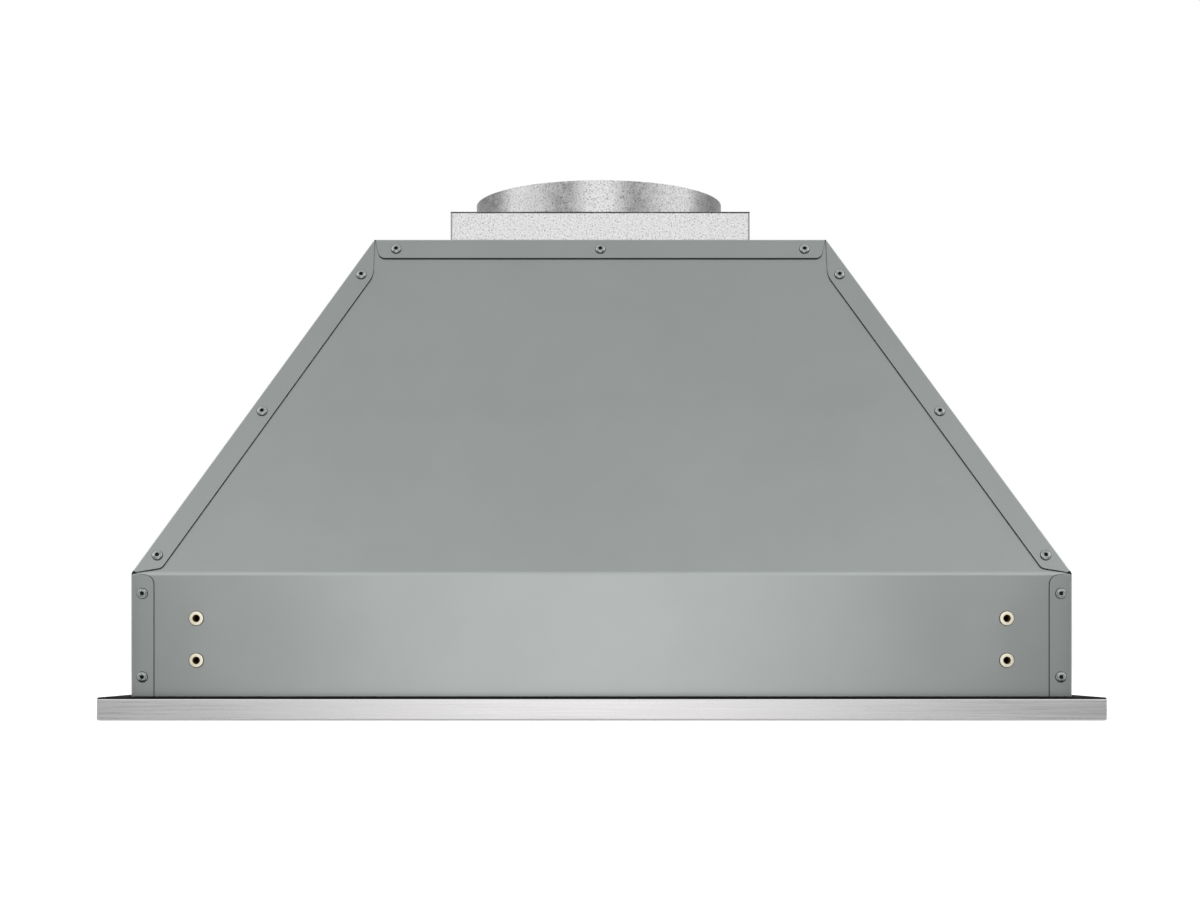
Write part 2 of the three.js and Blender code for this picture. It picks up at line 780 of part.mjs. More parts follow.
function scrollWrapper() {
  const tabZ = outletTopZ - scrollSheet;
  const y0 = outlet.y0 - shaftOffset;
  const y1 = outlet.y1 - shaftOffset;
  const tab = rectangle(y0 - outletTabWidth, y1 + outletTabWidth, tabZ, outletTopZ);
  const band = join(
    prism(scrollOutline(scrollSheet, outletTopZ), "x", scrollWidth),
    prism(outline(tab), "x", scrollWidth),
  );
  return cut(band, prism(scrollOutline(0, outletTopZ + overrun), "x", scrollWidth + overrun));
}

// A side of the scroll, with its inlet lip turned in towards the impeller
function scrollSide(side) {
  const outside = scrollWidth / 2 + seam + scrollSheet;
  const middle = side * (outside - scrollSheet / 2);
  const plate = prism(scrollOutline(scrollSheet, outletTopZ), "x", scrollSheet, middle);
  const lipEnd = outside - inletLip - scrollSheet;
  const lip = tube(inletRadius, inletRadius + scrollSheet, lipEnd, outside, roundSides);
  const hole = disc(inletRadius, 0, 2 * outside, roundSides);
  const facing = (part) => (side > 0 ? alongX(part) : alongX(moved(part, 0, 0, 0, Math.PI)));
  return cut(join(plate, facing(lip)), facing(hole));
}

// Forward-curved blades round a middle disc, with a rim at each end and a hub on the left
function impeller() {
  const inner = impellerRadius - bladeDepth;
  const half = impellerWidth / 2;
  const cage = [
    disc(impellerRadius, -impellerSheet / 2, impellerSheet / 2, bladeCount * 2),
    tube(inner, impellerRadius, half - impellerSheet, half, bladeCount * 2),
    tube(inner, impellerRadius, -half, impellerSheet - half, bladeCount * 2),
    disc(hubRadius, -hubLength, 0, shaftSides),
  ];
  const inset = impellerSheet / 2;
  const path = [
    [inner + inset, 0],
    [impellerRadius - inset, bladeLean],
  ];
  const blade = prism(outline(sheetSection(path, bladeThickness)), "z", impellerWidth - impellerSheet);
  const blades = Array.from({ length: bladeCount }, (_, i) => {
    const geometry = geometryOf(blade);
    geometry.rotateZ((i / bladeCount) * 2 * Math.PI);
    return solid(geometry);
  });
  const bore = disc(shaftRadius + seam, -2 * hubLength, 2 * hubLength, shaftSides);
  return alongX(cut(join(...cage, ...blades), bore));
}

const bracketX = scrollWidth / 2 + 2 * seam + scrollSheet;

function motorCan() {
  const rimX = bracketX + bracketSheet + seam;
  const end = motorGap + motorLength;
  return alongX(
    turned(
      [
        [0, motorGap + shaftSocket],
        [shaftRadius + seam, motorGap + shaftSocket],
        [shaftRadius + seam, motorGap],
        [motorRadius, motorGap],
        [motorRadius, rimX],
        [motorRimRadius, rimX],
        [motorRimRadius, rimX + motorRimThickness],
        [motorRadius, rimX + motorRimThickness],
        [motorRadius, end],
        [0, end],
      ],
      roundSides,
    ),
  );
}

// Three arms from the motor's rim out over the inlet to the scroll's side
function motorBracket() {
  const collar = tube(motorRadius + seam, motorRimRadius, 0, bracketSheet, roundSides);
  const reach = inletRadius + bracketReach;
  const arms = [0, 1, 2].map((i) => {
    const half = bracketArmWidth / 2;
    const arm = block(motorRimRadius - bracketRoot, reach, -half, half, 0, bracketSheet);
    const geometry = geometryOf(arm);
    geometry.rotateZ((i / 3) * 2 * Math.PI + Math.PI);
    return solid(geometry);
  });
  return moved(alongX(join(collar, ...arms)), bracketX, 0, 0);
}

const motorShaft = alongX(
  disc(shaftRadius, -hubLength - shaftEnd, motorGap + shaftSocket - seam, shaftSides),
);

function capacitor() {
  const { width: thick, length, height } = capacitorSize;
  const body = block(bracketX, bracketX + thick, -length / 2, length / 2, -height / 2, height / 2);
  const earStart = length / 2 - capacitorEar.thickness;
  const ear = block(
    bracketX,
    bracketX + capacitorEar.thickness,
    earStart,
    length / 2 + capacitorEar.length,
    -capacitorEar.width / 2,
    capacitorEar.width / 2,
  );
  return join(body, ear);
}

const blower = new THREE.Group();
blower.position.set(0, shaftOffset, roofZ - shaftDrop);
insert.add(blower);
piece("scroll_wrapper", scrollWrapper(), galvanised, blower);
piece("scroll_left_side", scrollSide(-1), galvanised, blower);
piece("scroll_right_side", scrollSide(1), galvanised, blower);
piece("impeller", impeller(), galvanised, blower);
piece("motor_shaft", motorShaft, springSteel, blower);
piece("motor", motorCan(), castAluminium, blower);
piece("motor_bracket", motorBracket(), galvanised, blower);
piece("motor_capacitor", capacitor(), blackPlastic, blower).position.z = -capacitorDrop;

// ---------------------------------------------------------------- wiring box

// Open below, where the cover closes it; heights are from the underside of the roof
function junctionBox() {
  const { width: across, depth: deep, height } = junctionSize;
  const shell = join(
    ring(across / 2, deep / 2, junctionSheet, -height, 0),
    block(-across / 2, across / 2, -deep / 2, deep / 2, -junctionSheet, 0),
  );
  const hole = disc(glandShankRadius + seam, -2 * junctionSheet, junctionSheet, glandSides);
  return cut(shell, moved(hole, glandX - junctionX, 0, 0));
}

function junctionCover() {
  const { width: across, depth: deep, height } = junctionSize;
  const inset = junctionSheet + seam;
  const top = -height - seam;
  const plateZ = top - junctionSheet;
  return join(
    block(-across / 2, across / 2, -deep / 2, deep / 2, plateZ, top),
    ring(across / 2 - inset, deep / 2 - inset, junctionSheet, plateZ, top + junctionLip),
  );
}

// Hexagonal flange and dome above the roof, shank through it, lock nut below
function cableGland() {
  const flangeZ = bodySheet + 2 * seam;
  const domeZ = flangeZ + glandFlangeHeight;
  const nutTop = -junctionSheet - seam;
  const nutZ = nutTop - glandNutHeight;
  const domeRadius = glandFlangeRadius - glandDomeStep;
  const body = turned(
    [
      [0, nutZ - glandEnd],
      [glandShankRadius, nutZ - glandEnd],
      [glandShankRadius, domeZ],
      [domeRadius, domeZ],
      [domeRadius, domeZ + glandDomeHeight / 2],
      [glandBore + 1, domeZ + glandDomeHeight],
      [0, domeZ + glandDomeHeight],
    ],
    glandSides,
  );
  const flange = disc(glandFlangeRadius, flangeZ, domeZ, 6);
  const lockNut = disc(glandFlangeRadius, nutZ, nutTop, 6);
  const bore = disc(glandBore, nutZ - 2 * glandEnd, domeZ + 2 * glandDomeHeight, glandSides);
  return cut(join(body, flange, lockNut), bore);
}

const wiring = new THREE.Group();
wiring.position.set(junctionX, junctionSpotY, underRoofZ);
insert.add(wiring);
piece("junction_box", junctionBox(), galvanised, wiring);
piece("junction_box_cover", junctionCover(), galvanised, wiring);
piece("cable_gland", cableGland(), greyPlastic, wiring).position.x = glandX - junctionX;

// ---------------------------------------------------------------- liner

// Side and rear walls of the intake, with the ledge that the filters hang from
function canopyLiner() {
  const walls = ring(linerHalfWidth, linerHalfDepth, linerSheet, flangeSheet, linerTop);
  const front = block(-bayHalfWidth, bayHalfWidth, -flangeDepth, 0, 0, 2 * linerTop);
  const ledgeTop = filterLevel - seam;
  const grip = linerSheet / 2;
  const ledge = block(
    -bayHalfWidth - grip,
    bayHalfWidth + grip,
    ledgeY,
    bayRearY + grip,
    ledgeTop - linerSheet,
    ledgeTop,
  );
  return join(cut(walls, front), ledge);
}

piece("canopy_liner", canopyLiner(), brushedSteel);

// ---------------------------------------------------------------- fascia with lamps and buttons

// The fascia's own frame: origin in the middle of its sloping face, X across, Y up the slope
// to the rear, and Z up through the sheet
const fascia = new THREE.Group();
fascia.position.set(0, (fasciaFrontY + fasciaRearY) / 2, fasciaStart + fasciaRise / 2);
fascia.rotation.x = fasciaAngle;
insert.add(fascia);

const slopeHalf = Math.hypot(fasciaDepth, fasciaRise) / 2;
const upright = [Math.sin(fasciaAngle), Math.cos(fasciaAngle)]; // the room's +Z in this frame
const fasciaEnd = fasciaHalfWidth - lampInset;
const cutoutHalfX = (buttonNames.length * buttonPitch) / 2;
const cutoutHalfY = buttonRimRadius + bezelFrameWall + 2 * seam;

function fasciaPanel() {
  const raised = (y, rise) => [y + rise * upright[0], rise * upright[1]];
  const path = [
    raised(-slopeHalf, fasciaLip),
    [-slopeHalf, 0],
    [slopeHalf, 0],
    raised(slopeHalf, fasciaBack),
  ];
  const sheet = prism(outline(sheetSection(path, fasciaSheet)), "x", 2 * fasciaHalfWidth);
  const lampHole = disc(lampTubeRadius + seam, -fasciaSheet, 2 * fasciaSheet, lampSides);
  const lamps = [-fasciaEnd, fasciaEnd].map((x) => moved(lampHole, x, 0, 0));
  const cutout = block(
    -cutoutHalfX,
    cutoutHalfX,
    -cutoutHalfY,
    cutoutHalfY,
    -fasciaSheet,
    2 * fasciaSheet,
  );
  return cut(sheet, cutout, ...lamps);
}

const bezelZ = -seam; // the bezel's upper face

function buttonBezel(spots) {
  const halfX = cutoutHalfX + bezelBorder;
  const halfY = cutoutHalfY + bezelBorder;
  const corners = rectangle(-halfX, halfX, -halfY, halfY).map((point) => [...point, bezelBorder]);
  const plate = prism(outline(corners), "z", bezelThickness, bezelZ - bezelThickness / 2);
  const frame = ring(
    cutoutHalfX - seam,
    cutoutHalfY - seam,
    bezelFrameWall,
    bezelZ - bezelThickness / 2,
    bezelFrameHeight,
  );
  const hole = disc(buttonRadius + seam, -3 * bezelThickness, 3 * bezelThickness, buttonSides);
  return cut(join(plate, frame), ...spots.map((x) => moved(hole, x, 0, 0)));
}

function button() {
  const face = bezelZ - bezelThickness - buttonProud;
  return turned(
    [
      [0, face],
      [buttonRadius - buttonChamfer, face],
      [buttonRadius, face + buttonChamfer],
      [buttonRadius, 0],
      [buttonRimRadius, 0],
      [buttonRimRadius, buttonRimThickness],
      [buttonStemRadius, buttonRimThickness],
      [buttonStemRadius, buttonRimThickness + buttonStemLength],
      [0, buttonRimThickness + buttonStemLength],
    ],
    buttonSides,
  );
}

// The board on its two spacers, with a key switch over each button's stem
function controlBoard(spots) {
  const plungerZ = buttonRimThickness + buttonStemLength + buttonTravel + seam;
  const boardZ = plungerZ + plungerLength + switchHeight;
  const halfX = cutoutHalfX + 2 * boardMargin;
  const halfY = cutoutHalfY + boardMargin / 2;
  const half = switchBody / 2;
  const plate = block(-halfX, halfX, -halfY, halfY, boardZ, boardZ + boardThickness);
  const keys = spots.flatMap((x) => [
    block(x - half, x + half, -half, half, boardZ - switchHeight, boardZ + boardThickness / 2),
    moved(disc(plungerRadius, plungerZ, boardZ, rivetSides), x, 0, 0),
  ]);
  const spacer = disc(spacerRadius, fasciaSheet + seam, boardZ + boardThickness / 2, rivetSides);
  const spacers = [-1, 1].map((side) => moved(spacer, side * (halfX - boardMargin / 2), 0, 0));
  return join(plate, ...keys, ...spacers);
}

function lampHousing() {
  const face = bezelZ - lampRimThickness;
  const shoulder = face + lampLipThickness;
  const inside = lampTubeRadius - lampTubeWall;
  return turned(
    [
      [0, lampDepth - lampTubeWall],
      [inside, lampDepth - lampTubeWall],
      [inside, shoulder],
      [lampMouthRadius, shoulder],
      [lampMouthRadius, face],
      [lampRimRadius - lampRimChamfer, face],
      [lampRimRadius, face + lampRimChamfer],
      [lampRimRadius, bezelZ],
      [lampTubeRadius, bezelZ],
      [lampTubeRadius, lampDepth],
      [0, lampDepth],
    ],
    lampSides,
  );
}

function lampLens() {
  const seat = bezelZ - lampRimThickness + lampLipThickness + seam;
  return disc(lampTubeRadius - lampTubeWall - seam, seat, seat + lensThickness, lampSides);
}

const buttonSpots = buttonNames.map((_, i) => (i - (buttonNames.length - 1) / 2) * buttonPitch);
piece("control_fascia", fasciaPanel(), brushedSteel, fascia);
piece("button_bezel", buttonBezel(buttonSpots), blackPlastic, fascia);
piece("control_board", controlBoard(buttonSpots), boardGreen, fascia);
buttonSpots.forEach((x, i) => {
  piece(`${buttonNames[i]}_button`, button(), greyPlastic, fascia).position.x = x;
});
for (const [name, x] of [
  ["left", -fasciaEnd],
  ["right", fasciaEnd],
]) {
  piece(`${name}_lamp_housing`, lampHousing(), brushedSteel, fascia).position.x = x;
  piece(`${name}_lamp_lens`, lampLens(), opalGlass, fascia).position.x = x;
}

// ---------------------------------------------------------------- filters

const filterWidth = bayHalfWidth - filterSideGap - filterMiddleGap / 2;
const filterFront = fasciaRearY + catchSpace - hingeY; // from the hinge line
const filterRear = bayRearY - filterRearGap - hingeY;
const filterDepth = filterRear - filterFront;
const filterMiddle = (filterRear + filterFront) / 2;

function filterFrame() {
  const halfX = filterWidth / 2;
  const halfY = filterDepth / 2;
  return join(
    ring(halfX, halfY, filterSheet, 0, filterHeight),
    ring(halfX, halfY, filterRim, 0, filterSheet),
    ring(halfX, halfY, filterRim, filterHeight - filterSheet, filterHeight),
  );
}

// Two rows of channels facing each other, staggered, so that the air has to turn between them.
// A strip at each end, inside the frame, holds them.
function filterBaffles() {
  const halfX = filterWidth / 2 - filterSheet - seam;
  const length = filterDepth - 2 * (filterSheet + seam);
  const lowZ = filterSheet + seam;
  const highZ = filterHeight - filterSheet - seam;
  const pitch = (2 * halfX - baffleWidth) / (lowerBaffles - 1);
  const half = baffleWidth / 2;
  const channel = (x, base, rim) => {
    const path = [
      [x - half, rim],
      [x - half, base],
      [x + half, base],
      [x + half, rim],
    ];
    const points = rim > base ? path : path.reverse();
    return prism(outline(sheetSection(points, baffleSheet)), "y", length);
  };
  const first = half - halfX;
  const lower = Array.from({ length: lowerBaffles }, (_, i) =>
    channel(first + i * pitch, lowZ, lowZ + baffleLeg),
  );
  const upper = Array.from({ length: lowerBaffles - 1 }, (_, i) =>
    channel(first + (i + 0.5) * pitch, highZ, highZ - baffleLeg),
  );
  const ends = [-length / 2, length / 2 - baffleSheet].map((y0) =>
    block(-halfX, halfX, y0, y0 + baffleSheet, lowZ, highZ),
  );
  return join(...lower, ...upper, ...ends);
}

// A wire loop under the filter's front rim, on two welded feet; its origin is on the rim
function filterHandle() {
  const half = handleSpan / 2;
  const footZ0 = -seam - flangeSheet;
  const barZ = -seam - handleDrop;
  const path = new THREE.CurvePath();
  const corner = (from, over, to) =>
    path.add(
      new THREE.QuadraticBezierCurve3(
        new THREE.Vector3(from[0], 0, from[1]),
        new THREE.Vector3(over[0], 0, over[1]),
        new THREE.Vector3(to[0], 0, to[1]),
      ),
    );
  const straight = (from, to) =>
    path.add(
      new THREE.LineCurve3(
        new THREE.Vector3(from[0], 0, from[1]),
        new THREE.Vector3(to[0], 0, to[1]),
      ),
    );
  const legTop = footZ0 + flangeSheet / 2;
  const legEnd = barZ + handleBend;
  straight([-half, legTop], [-half, legEnd]);
  corner([-half, legEnd], [-half, barZ], [handleBend - half, barZ]);
  straight([handleBend - half, barZ], [half - handleBend, barZ]);
  corner([half - handleBend, barZ], [half, barZ], [half, legEnd]);
  straight([half, legEnd], [half, legTop]);
  const section = new THREE.Shape().absarc(0, 0, handleWireRadius, 0, 2 * Math.PI);
  const options = { extrudePath: path, steps: handleSteps, curveSegments: 3, bevelEnabled: false };
  const wire = solid(new THREE.ExtrudeGeometry(section, options));
  const feet = [-half, half].map((x) => {
    const x0 = x - handleFootWidth / 2;
    const y0 = -handleFootDepth / 2;
    return block(x0, x0 + handleFootWidth, y0, y0 + handleFootDepth, footZ0, -seam);
  });
  return join(wire, ...feet);
}

// A bent leaf on the fascia that the filter's front edge snaps over
function filterCatch() {
  const y = fasciaRearY + seam + catchSheet;
  const tipZ = filterLevel - 2 * seam - catchSheet;
  const path = [
    [y, fasciaStart + fasciaRise + fasciaBack - catchSheet],
    [y, filterLevel + catchSheet],
    [fasciaRearY + catchSpace + catchBite, tipZ],
    [y, tipZ - catchSpace],
  ];
  return prism(outline(sheetSection(path.reverse(), catchSheet)), "x", catchWidth);
}

for (const [name, side] of [
  ["left", -1],
  ["right", 1],
]) {
  const filter = new THREE.Group();
  filter.position.set(side * (filterMiddleGap + filterWidth) * 0.5, hingeY, filterLevel);
  insert.add(filter);
  piece(`${name}_filter_frame`, filterFrame(), brushedSteel, filter).position.y = filterMiddle;
  piece(`${name}_filter_baffles`, filterBaffles(), baffleSteel, filter).position.y = filterMiddle;
  const handle = piece(`${name}_filter_handle`, filterHandle(), springSteel, filter);
  handle.position.y = filterFront + handleInset;
  const catchLeaf = piece(`${name}_filter_catch`, filterCatch(), springSteel);
  catchLeaf.position.x = filter.position.x;
}

export default insert;
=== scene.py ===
# Looks for a range hood insert: sheet-metal body, brushed flange, galvanised duct outlet,
# and the filters, lamps and buttons underneath. Metres, front towards -Y, floor at z = 0.
import bpy
import bmesh
import math
from mathutils import Matrix, Vector


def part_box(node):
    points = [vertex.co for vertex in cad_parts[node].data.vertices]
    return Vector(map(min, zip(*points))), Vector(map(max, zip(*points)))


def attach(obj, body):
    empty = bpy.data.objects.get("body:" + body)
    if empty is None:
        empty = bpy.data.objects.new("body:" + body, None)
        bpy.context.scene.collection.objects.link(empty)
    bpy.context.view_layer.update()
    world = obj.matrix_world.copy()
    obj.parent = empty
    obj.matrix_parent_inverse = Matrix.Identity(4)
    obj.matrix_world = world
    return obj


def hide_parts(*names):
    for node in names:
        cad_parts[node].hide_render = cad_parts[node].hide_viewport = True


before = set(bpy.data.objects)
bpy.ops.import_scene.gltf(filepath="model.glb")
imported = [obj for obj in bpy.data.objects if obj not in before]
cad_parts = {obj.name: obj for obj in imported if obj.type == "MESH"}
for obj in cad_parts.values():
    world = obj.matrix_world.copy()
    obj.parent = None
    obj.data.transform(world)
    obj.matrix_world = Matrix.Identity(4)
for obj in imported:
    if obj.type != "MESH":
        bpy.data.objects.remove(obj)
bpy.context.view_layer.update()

scene = bpy.context.scene
mm = 0.001
print("frame loaded:", len(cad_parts), "nodes")


# ---- small helpers: nodes and materials

def linear(hexColour):
    channels = [int(hexColour[i:i + 2], 16) / 255 for i in (1, 3, 5)]
    return tuple(c / 12.92 if c <= 0.04045 else ((c + 0.055) / 1.055) ** 2.4 for c in channels) + (1.0,)


def addNode(tree, kind, inputs=None, **settings):
    # inputs maps a socket's name or number to a value, or to the output that feeds it
    made = tree.nodes.new("ShaderNode" + kind)
    for key, value in settings.items():
        setattr(made, key, value)
    for key, value in (inputs or {}).items():
        if isinstance(value, bpy.types.NodeSocket):
            tree.links.new(value, made.inputs[key])
        else:
            made.inputs[key].default_value = value
    return made


def newMaterial(name, hexColour, metallic, roughness):
    material = bpy.data.materials.new(name)
    material.use_nodes = True
    tree = material.node_tree
    shader = tree.nodes["Principled BSDF"]
    shader.inputs["Base Color"].default_value = linear(hexColour)
    shader.inputs["Metallic"].default_value = metallic
    shader.inputs["Roughness"].default_value = roughness
    return material, tree, shader


def stretchedCoords(tree, sizes):
    # object coordinates divided by a pattern's size in metres along x, y and z
    coords = addNode(tree, "TexCoord").outputs["Object"]
    scale = [1 / size for size in sizes]
    return addNode(tree, "Mapping", {"Vector": coords, "Scale": scale}).outputs["Vector"]


def noise(tree, sizes, detail=2.0, rough=0.5):
    vector = stretchedCoords(tree, sizes)
    settings = {"Vector": vector, "Scale": 1.0, "Detail": detail, "Roughness": rough}
    return addNode(tree, "TexNoise", settings).outputs["Fac"]


def ramp(tree, factor, stops, interpolation="LINEAR"):
    # a colour ramp from (place, linear colour) pairs
    made = addNode(tree, "ValToRGB", {"Fac": factor})
    made.color_ramp.interpolation = interpolation
    while len(made.color_ramp.elements) < len(stops):
        made.color_ramp.elements.new(0.5)
    for element, (place, colour) in zip(made.color_ramp.elements, stops):
        element.position = place
        element.color = colour
    return made.outputs["Color"]


def tones(tree, factor, stops):
    # the same from (place, hex colour) pairs
    return ramp(tree, factor, [(place, linear(hexColour)) for place, hexColour in stops])


def spread(tree, factor, low, high, fromLow=0.3, fromHigh=0.7):
    # noise lies mostly between 0.3 and 0.7, and is spread here over a range of values
    inputs = {"Value": factor, "From Min": fromLow, "From Max": fromHigh, "To Min": low, "To Max": high}
    return addNode(tree, "MapRange", inputs).outputs["Result"]


def mixed(tree, factor, first, second, blend="MIX"):
    inputs = {0: factor, 6: first, 7: second}
    return addNode(tree, "Mix", inputs, data_type="RGBA", blend_type=blend).outputs[2]


def multiply(tree, first, second):
    return mixed(tree, 1.0, first, second, "MULTIPLY")


def feed(tree, shader, colour, roughness=None):
    # patterns for a material's colour and roughness
    tree.links.new(colour, shader.inputs["Base Color"])
    if roughness is not None:
        tree.links.new(roughness, shader.inputs["Roughness"])


def bump(tree, shader, height, depth, strength):
    made = addNode(tree, "Bump", {"Height": height, "Distance": depth, "Strength": strength})
    tree.links.new(made.outputs["Normal"], shader.inputs["Normal"])


# ---- materials, each named for its real finish

def satinSheet():
    # cold-rolled sheet with a satin mill finish: even grey with a breath of green, soft broad gloss
    look = {"colour": "#a2a7a5", "metallic": 0.92, "roughness": 0.28, "mottle": 30 * mm, "cloud": 160 * mm,
            "lineWidth": 0.9 * mm, "lineLength": 60 * mm}
    material, tree, shader = newMaterial("satin_sheet", look["colour"], look["metallic"], look["roughness"])
    cloud = noise(tree, [look["cloud"]] * 3, 1.0)
    mottle = noise(tree, [look["mottle"]] * 3, 2.0)
    # rolling lines run up the sheet and only change its gloss; real ones are finer than these
    rolling = noise(tree, [look["lineWidth"], look["lineLength"], look["lineLength"]], 2.0)
    cloudTone = tones(tree, cloud, [(0.3, "#fbfbfb"), (0.7, "#ffffff")])
    mottleTone = tones(tree, mottle, [(0.3, "#fcfcfc"), (0.7, "#ffffff")])
    toned = multiply(tree, linear(look["colour"]), multiply(tree, cloudTone, mottleTone))
    feed(tree, shader, toned, spread(tree, rolling, look["roughness"], look["roughness"] + 0.005))
    return material


def cutEdgeAndShadow():
    # a sheet's cut edge, raw and rough, painted dark so that it reads as a fine dark line: partly the real
    # edge, partly painted shadow along the strips' laps and round the rivets' heads
    material, tree, shader = newMaterial("cut_edge_and_painted_shadow", "#3d4240", 0.3, 0.7)
    grain = noise(tree, [0.6 * mm] * 3)
    feed(tree, shader, tones(tree, grain, [(0.35, "#333735"), (0.65, "#474c49")]))
    bump(tree, shader, grain, 0.05 * mm, 0.4)
    return material


def brushedSteel(name, axis):
    # stainless steel brushed with a belt: fine streaks along one axis, a little wider than real ones
    look = {"colour": "#d6d6d6", "roughness": 0.29, "length": 60 * mm, "width": 0.45 * mm, "broad": 6}
    material, tree, shader = newMaterial(name, look["colour"], 1.0, look["roughness"])
    sizes = [look["length"] if i == axis else look["width"] for i in range(3)]
    fine = noise(tree, sizes, 3.0, 0.6)
    broad = noise(tree, [look["broad"] * size for size in sizes], 2.0)
    fineTone = tones(tree, fine, [(0.3, "#f0f0f0"), (0.7, "#ffffff")])
    broadTone = tones(tree, broad, [(0.3, "#f8f8f8"), (0.7, "#ffffff")])
    toned = multiply(tree, linear(look["colour"]), multiply(tree, fineTone, broadTone))
    feed(tree, shader, toned, spread(tree, fine, look["roughness"] - 0.04, look["roughness"] + 0.05))
    bump(tree, shader, fine, 0.01 * mm, 0.3)
    return material


def galvanisedSheet():
    # hot-dip galvanised steel: pale zinc with small crystals and fine dark specks
    look = {"crystal": 5 * mm, "speck": 1.1 * mm, "roughness": 0.32}
    material, tree, shader = newMaterial("galvanised_sheet", "#d6d6d6", 0.9, look["roughness"])
    crystals = {"Vector": stretchedCoords(tree, [look["crystal"]] * 3), "Scale": 1.0}
    cells = addNode(tree, "TexVoronoi", crystals)
    specks = noise(tree, [look["speck"]] * 3, 1.0)
    grey = addNode(tree, "RGBToBW", {"Color": cells.outputs["Color"]}).outputs["Val"]
    crystalTone = tones(tree, grey, [(0.2, "#f9f9f9"), (0.8, "#ffffff")])
    speckStops = [(0.28, "#8a8a8a"), (0.4, "#c6c6c6"), (0.55, "#d6d6d6"), (0.72, "#e2e2e2")]
    toned = multiply(tree, tones(tree, specks, speckStops), crystalTone)
    shine = spread(tree, grey, look["roughness"] - 0.02, look["roughness"] + 0.03, 0.2, 0.8)
    feed(tree, shader, toned, shine)
    bump(tree, shader, specks, 0.012 * mm, 0.5)
    return material


def cutZincEdge(name, dark, pale):
    # the cut edge of galvanised sheet: bare steel that has gone dull
    material, tree, shader = newMaterial(name, dark, 0.5, 0.6)
    grain = noise(tree, [0.8 * mm] * 3)
    feed(tree, shader, tones(tree, grain, [(0.35, dark), (0.65, pale)]))
    return material


def plainRivetSteel():
    # blind rivet's head: smooth drawn steel, a little worn where the setting tool pressed
    material, tree, shader = newMaterial("rivet_steel", "#9aa09e", 1.0, 0.28)
    wear = noise(tree, [1.2 * mm] * 3, 3.0)
    toned = tones(tree, wear, [(0.35, "#868c8a"), (0.65, "#a9afad")])
    feed(tree, shader, toned, spread(tree, wear, 0.22, 0.4))
    return material


def paintedShadeBlack():
    # near-black painted shade: inside the hole that the pulled mandrel leaves, in the notches of the bend
    # reliefs and in the gaps beside the strips
    material, tree, shader = newMaterial("painted_shade_black", "#0c0d0d", 0.3, 0.7)
    shadeGrain = noise(tree, [0.5 * mm] * 3)
    feed(tree, shader, tones(tree, shadeGrain, [(0.4, "#060707"), (0.7, "#161818")]))
    return material


def yellowZinc(name, metallic, shine, pink, cream, green):
    # zinc with a yellow chromate film: a cloudy pale cream over the metal, with a faint pink and green play
    material, tree, shader = newMaterial(name, cream, metallic, shine)
    film = noise(tree, [2.2 * mm] * 3, 2.0)
    stops = [(0.32, pink), (0.42, cream), (0.6, cream), (0.7, green)]
    feed(tree, shader, tones(tree, film, stops), spread(tree, film, shine, shine + 0.12))
    return material


def rubberAndShadeBlack():
    # dull black rubber foam with small cells that hardly shine even when seen along it; it is the gland's
    # real rubber seal, and painted shade on the flange's ledge and round the rivet nuts
    material, tree, shader = newMaterial("black_rubber_and_painted_shade", "#0c0c0c", 0.0, 0.9)
    shader.inputs["Specular IOR Level"].default_value = 0.1
    cells = noise(tree, [0.7 * mm] * 3, 2.0)
    feed(tree, shader, tones(tree, cells, [(0.35, "#080808"), (0.7, "#131414")]))
    bump(tree, shader, cells, 0.1 * mm, 0.5)
    return material


def drawnSteel(name, hexColour, roughness):
    # bright drawn or pressed steel: smooth and clear, with a few faint drawing marks
    material, tree, shader = newMaterial(name, hexColour, 1.0, roughness)
    marks = noise(tree, [1.5 * mm, 6 * mm, 1.5 * mm], 2.0)
    toned = multiply(tree, linear(hexColour), tones(tree, marks, [(0.3, "#ebebeb"), (0.7, "#ffffff")]))
    feed(tree, shader, toned, spread(tree, marks, roughness - 0.04, roughness + 0.06))
    bump(tree, shader, marks, 0.002 * mm, 0.3)
    return material


def brightStainless():
    # bright annealed stainless sheet: clear, slightly wavy reflections with lines along the channels
    look = {"colour": "#d4d5d4", "roughness": 0.33, "line": 0.7 * mm, "wave": 18 * mm}
    material, tree, shader = newMaterial("bright_stainless", look["colour"], 1.0, look["roughness"])
    line = noise(tree, [look["line"], 80 * mm, look["line"]], 2.0)
    wave = noise(tree, [look["wave"], 60 * mm, look["wave"]], 1.0)
    lineTone = tones(tree, line, [(0.3, "#efefef"), (0.7, "#ffffff")])
    toned = multiply(tree, linear(look["colour"]), lineTone)
    feed(tree, shader, toned, spread(tree, line, look["roughness"] - 0.03, look["roughness"] + 0.05))
    bump(tree, shader, wave, 0.05 * mm, 0.4)
    return material


def mouldedPlastic(name, hexColour, roughness, pale, dark):
    # moulded ABS or nylon with a fine spark-eroded grain, about 0.5 mm across
    material, tree, shader = newMaterial(name, hexColour, 0.0, roughness)
    shader.inputs["IOR"].default_value = 1.54
    grain = noise(tree, [0.5 * mm] * 3, 1.0)
    handling = noise(tree, [14 * mm] * 3, 2.0)
    toned = tones(tree, handling, [(0.3, dark), (0.7, pale)])
    feed(tree, shader, toned, spread(tree, handling, roughness - 0.05, roughness + 0.07))
    bump(tree, shader, grain, 0.03 * mm, 0.5)
    return material


def castAlloy():
    # die-cast aluminium: pale grey, matt, with the skin's faint flow marks
    material, tree, shader = newMaterial("cast_aluminium", "#b9bbbb", 0.9, 0.48)
    flow = noise(tree, [4 * mm, 9 * mm, 4 * mm], 3.0, 0.6)
    skinGrain = noise(tree, [0.8 * mm] * 3, 1.0)
    toned = tones(tree, flow, [(0.3, "#a9abab"), (0.7, "#c3c5c5")])
    feed(tree, shader, toned, spread(tree, flow, 0.42, 0.56))
    bump(tree, shader, skinGrain, 0.04 * mm, 0.5)
    return material


